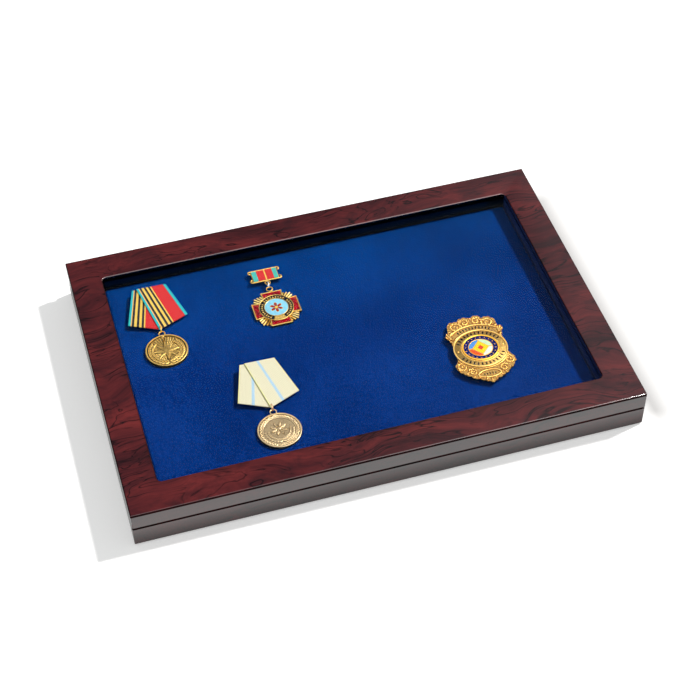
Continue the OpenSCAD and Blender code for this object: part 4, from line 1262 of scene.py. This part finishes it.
def badge():
    """Shield with scrollwork, oval plaque with a ring of dark leaves, and an enamelled seal."""
    plaque = middle("badge_plaque")
    at = Vector((plaque.x, plaque.y, low_of("badge_shield").z))

    def above(z, y=0.0):
        return place(at.x, at.y, at.z + z, BADGE_TURN) @ Matrix.Translation((0, y, 0))

    move = above(0.0)
    shape = Shape()
    wear = struck(shape, badge_reach, badge_height, 720, 76, 0.5, move)
    scrolls = shape.object("badge_scrollwork", [BADGE_GOLD], 50, False)
    finish(mark_wear(scrolls, np.clip(wear * 1.6 - 0.22, 0, 1)), "base", "badge_gold", "badge_shield")

    top = low_of("badge_plaque").z - at.z
    face = top + PLAQUE_RISE
    shape = Shape()
    shape.add(*plate(oval(20.2, 18.4, 128), [(0, top - 0.4), (0, top + 0.5), (0.2, face)]), 0, move)
    shape.add(*round_band(20.5, 18.7, 1.3, top + 0.7, 0.62, 128), 1, move)
    shape.add(*round_band(14.9, 13.5, 0.9, top + 0.7, 0.45, 128), 1, move)
    oval_plaque = shape.object("badge_oval", [FIELD_GOLD, BADGE_GOLD], 40)
    finish(mark_wear(oval_plaque, rest=0.8), "base", "badge_gold", "badge_plaque")
    around, leaf_size, arc = (17.1, 15.5), (0.72, 1.5, 0.2), 40.0
    on_band, on_small = above(BAND_RISE, BAND_MIDDLE_Y), above(SMALL_OVAL_RISE, SMALL_OVAL_Y - arc)
    for name, m, *rest in (
            ("badge_leaves_0", DARK_FILL, above(face), around, leaf_size, 13, 28, 124),
            ("badge_leaves_1", DARK_FILL, above(face), around, leaf_size, 13, 208, 124),
            ("badge_side_beads", BADGE_GOLD, above(face), around, (0.85, 0.85, 0.6), 2),
            ("badge_band_leaves", DARK_FILL, on_band, (25.7, 25.7), (0.62, 1.4, 0.2), 11, 62, 56),
            ("badge_small_leaves", DARK_FILL, on_small, (arc, arc), (0.5, 1.1, 0.2), 5, 84, 12)):
        beads(name, "base", "badge_gold", m, *rest)

    base = top + 0.6
    shape = Shape()
    shape.add(*round_band(14.1, 12.8, 1.5, base + 0.75, 0.75, 128), 0, move)
    shape.add(*plate(oval(13.3, 12.0, 128), [(0, base - 0.1), (0, base + 0.65)]), 1, move)
    shape.add(*round_band(9.3, 8.4, 0.5, base + 0.7, 0.25, 96), 0, move)
    shape.add(*plate(oval(9.0, 8.1, 96), [(0, base), (0, base + 0.7), (0.6, base + 0.82)]), 2, move)
    o = shape.object("badge_enamel_seal", [POLISHED_GOLD, BLUE_ENAMEL, seal_enamel()], 40)
    flat_places(o, at, BADGE_TURN)
    finish(o, "base", "blue_enamel", "badge_seal")
    beads("badge_seal_beads", "base", "badge_gold", POLISHED_GOLD, above(base + 0.65),
          (11.2, 10.1), (0.36, 0.42, 0.22), 20, 6)


# The scene

ROSEWOOD = make_rosewood_figure()
PATINA = make_metal_patina()
THREAD = make_thread_relief()
BAND = make_band_mask()
BEADS = make_bead_tree()

TOP_LACQUER = lacquered_wood("rosewood_top", 1.45, 0.12)
# The base top beside the pad: next to the pad it is painted black, painted shade
BESIDE_PAD = lacquered_wood("rosewood_beside_pad", 1.45, 0.12,
                            shade_well=[c + 1.2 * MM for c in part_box("velvet_cover")[1][:2]])
# The sides: a darker copy of the rosewood, painted shade, with painted shade bands at the parting line and
# along the top edge
SHADED_SIDE_LACQUER = lacquered_wood("rosewood_side_painted_shade", 1.95, 0.08, 0.45, shade_bands=((16.9, 19.1), (30.5, 40.0)))
# A lighter copy for the front edges, a painted highlight, and a darker copy for the other edges, painted
# shade
PAINTED_HIGHLIGHT_EDGE = lacquered_wood("rosewood_edge_painted_highlight", 1.9, 0.12, 1.3)
PAINTED_SHADE_EDGE = lacquered_wood("rosewood_edge_painted_shade", 1.15, 0.3, 0.25)
BLACK_LACQUER = wall_lacquer()
RAW_BOARD = plain("raw_board", (120, 92, 66), 0.85, grain=0.3, grain_scale=900)
VELVET = velvet()
OLD_GOLD = metal("old_gold", (250, 208, 120), (66, 48, 20))
PALE_BRONZE = metal("pale_bronze", (246, 218, 172), (96, 78, 54))
GILT = metal("gilt", (246, 204, 116), (80, 58, 26))
# Dark gold for the fan plates: painted shade between the rays
GAP_SHADE_GILT = metal("gilt_painted_gap_shade", (96, 66, 26), (40, 28, 12), wear=0.5)
RAY_GOLD = metal("ray_gold", (255, 226, 150), (120, 86, 34), wear=0.85)
BADGE_GOLD = metal("badge_gold", (255, 214, 128), (136, 74, 10), roughness=0.75)
FIELD_GOLD = metal("field_gold", (190, 152, 84), (100, 78, 40), wear=0.5, roughness=1.4)
POLISHED_GOLD = metal("polished_gold", (255, 200, 84), (200, 140, 40), wear=0.9)
RING_SILVER = metal("ring_silver", (232, 234, 238), (120, 122, 128), wear=0.9)
RING_COPPER = metal("ring_copper", (226, 176, 140), (120, 70, 50), wear=0.8)
PIN_BRASS = metal("pin_brass", (226, 186, 104), (120, 90, 40), wear=0.8)
HINGE_BRASS = metal("hinge_brass", (232, 190, 104), (140, 104, 50), wear=0.85)
STEEL = metal("steel", (190, 192, 196), (110, 112, 116), wear=0.8)
NICKEL = metal("nickel", (200, 200, 198), (120, 120, 120), wear=0.85)
CRIMSON = enamel("crimson_enamel", (186, 0, 18), (96, 0, 10), 420.0, 0.2)
BLACK_ENAMEL = enamel("black_enamel", (16, 18, 24), (6, 7, 10), 300.0, 0.1)
BLUE_ENAMEL = enamel("blue_enamel", (8, 22, 112), (4, 12, 78), 300.0, 0.1)
DARK_FILL = enamel("dark_fill", (34, 28, 26), (16, 12, 12), 300.0, 0.1)

TURQUOISE, CREAM, NAVY = colour(26, 186, 192), colour(255, 192, 100), colour(8, 10, 26)
YELLOW, RED, DEEP_RED = colour(248, 204, 92), colour(216, 40, 44), colour(190, 22, 36)
STRIPED_SILK = ribbon_silk("striped_silk", [
    (0, TURQUOISE), (1.6, CREAM), (2.3, NAVY), (3.9, YELLOW), (5.7, NAVY), (7.3, YELLOW), (9.0, NAVY),
    (10.6, YELLOW), (11.5, RED), (20.3, DEEP_RED), (20.9, TURQUOISE)], RIBBON_WIDTH)
PALE_YELLOW, IVORY, SKY = colour(240, 236, 160), colour(236, 228, 196), colour(182, 214, 238)
PALE_SILK = ribbon_silk("pale_silk", [
    (0, PALE_YELLOW), (0.6, IVORY), (9.0, SKY), (10.9, IVORY), (22.4, PALE_YELLOW)], RIBBON_WIDTH)
BAR_TEAL = colour(74, 190, 180)
BAR_SILK = ribbon_silk("bar_silk", [
    (0, BAR_TEAL), (3.6, RED), (9.4, YELLOW), (10.4, RED), (16.0, BAR_TEAL)], BAR_SILK_WIDTH)

bpy.context.scene.view_settings.view_transform = "Standard"
set_camera()
set_lights()
set_floor()
dress_frame("lid_frame", "lid")
dress_frame("base_frame", "base")
velvet_pad()
folded_ribbon("striped_folds", "striped_link", 3.13, STRIPED_SILK, "striped_silk", "striped_ribbon")
folded_ribbon("pale_folds", "pale_link", 3.65, PALE_SILK, "pale_silk", "pale_ribbon")
round_medal("striped_medal", "striped_link", gold_medal_height, OLD_GOLD, "gold_medal")
pale_at = round_medal("pale_medal", "pale_link", pale_medal_height, PALE_BRONZE, "pale_bronze")
beads("pale_medal_beads", "pale_medal", "pale_bronze", PALE_BRONZE,
      place(pale_at.x, pale_at.y, pale_at.z + 1.95), (13.45, 13.45), (0.5, 0.5, 0.5), 48)
pendant()
pendant_bar()
badge()

for names, m in (
        (("base_board", "pad_board"), RAW_BOARD),
        (("foam_core",), plain("grey_foam", (150, 152, 155), 0.95, grain=0.6, grain_scale=700)),
        (("foot_front_left", "foot_front_right", "foot_back_left", "foot_back_right"),
         plain("felt", (46, 46, 50), 1.0, grain=0.8, grain_scale=1200, variation=0.3)),
        (("glass_pane",), clear_pane()),
        (("glass_retainer",), BLACK_LACQUER),
        (("retainer_screws",), STEEL),
        (("base_magnets", "lid_magnets"), NICKEL),
        (("base_leaf_left", "base_leaf_right", "lid_leaf_left", "lid_leaf_right", "hinge_pin_left",
          "hinge_pin_right", "base_hinge_screws", "lid_hinge_screws"), HINGE_BRASS),
        (("striped_ribbon_mount", "pale_ribbon_mount", "badge_pins"), PIN_BRASS),
        (("striped_link",), POLISHED_GOLD),
        (("pale_link",), RING_COPPER),
        (("pendant_link",), RING_SILVER)):
    for name in names:
        cad[name].data.materials.clear()
        cad[name].data.materials.append(m)
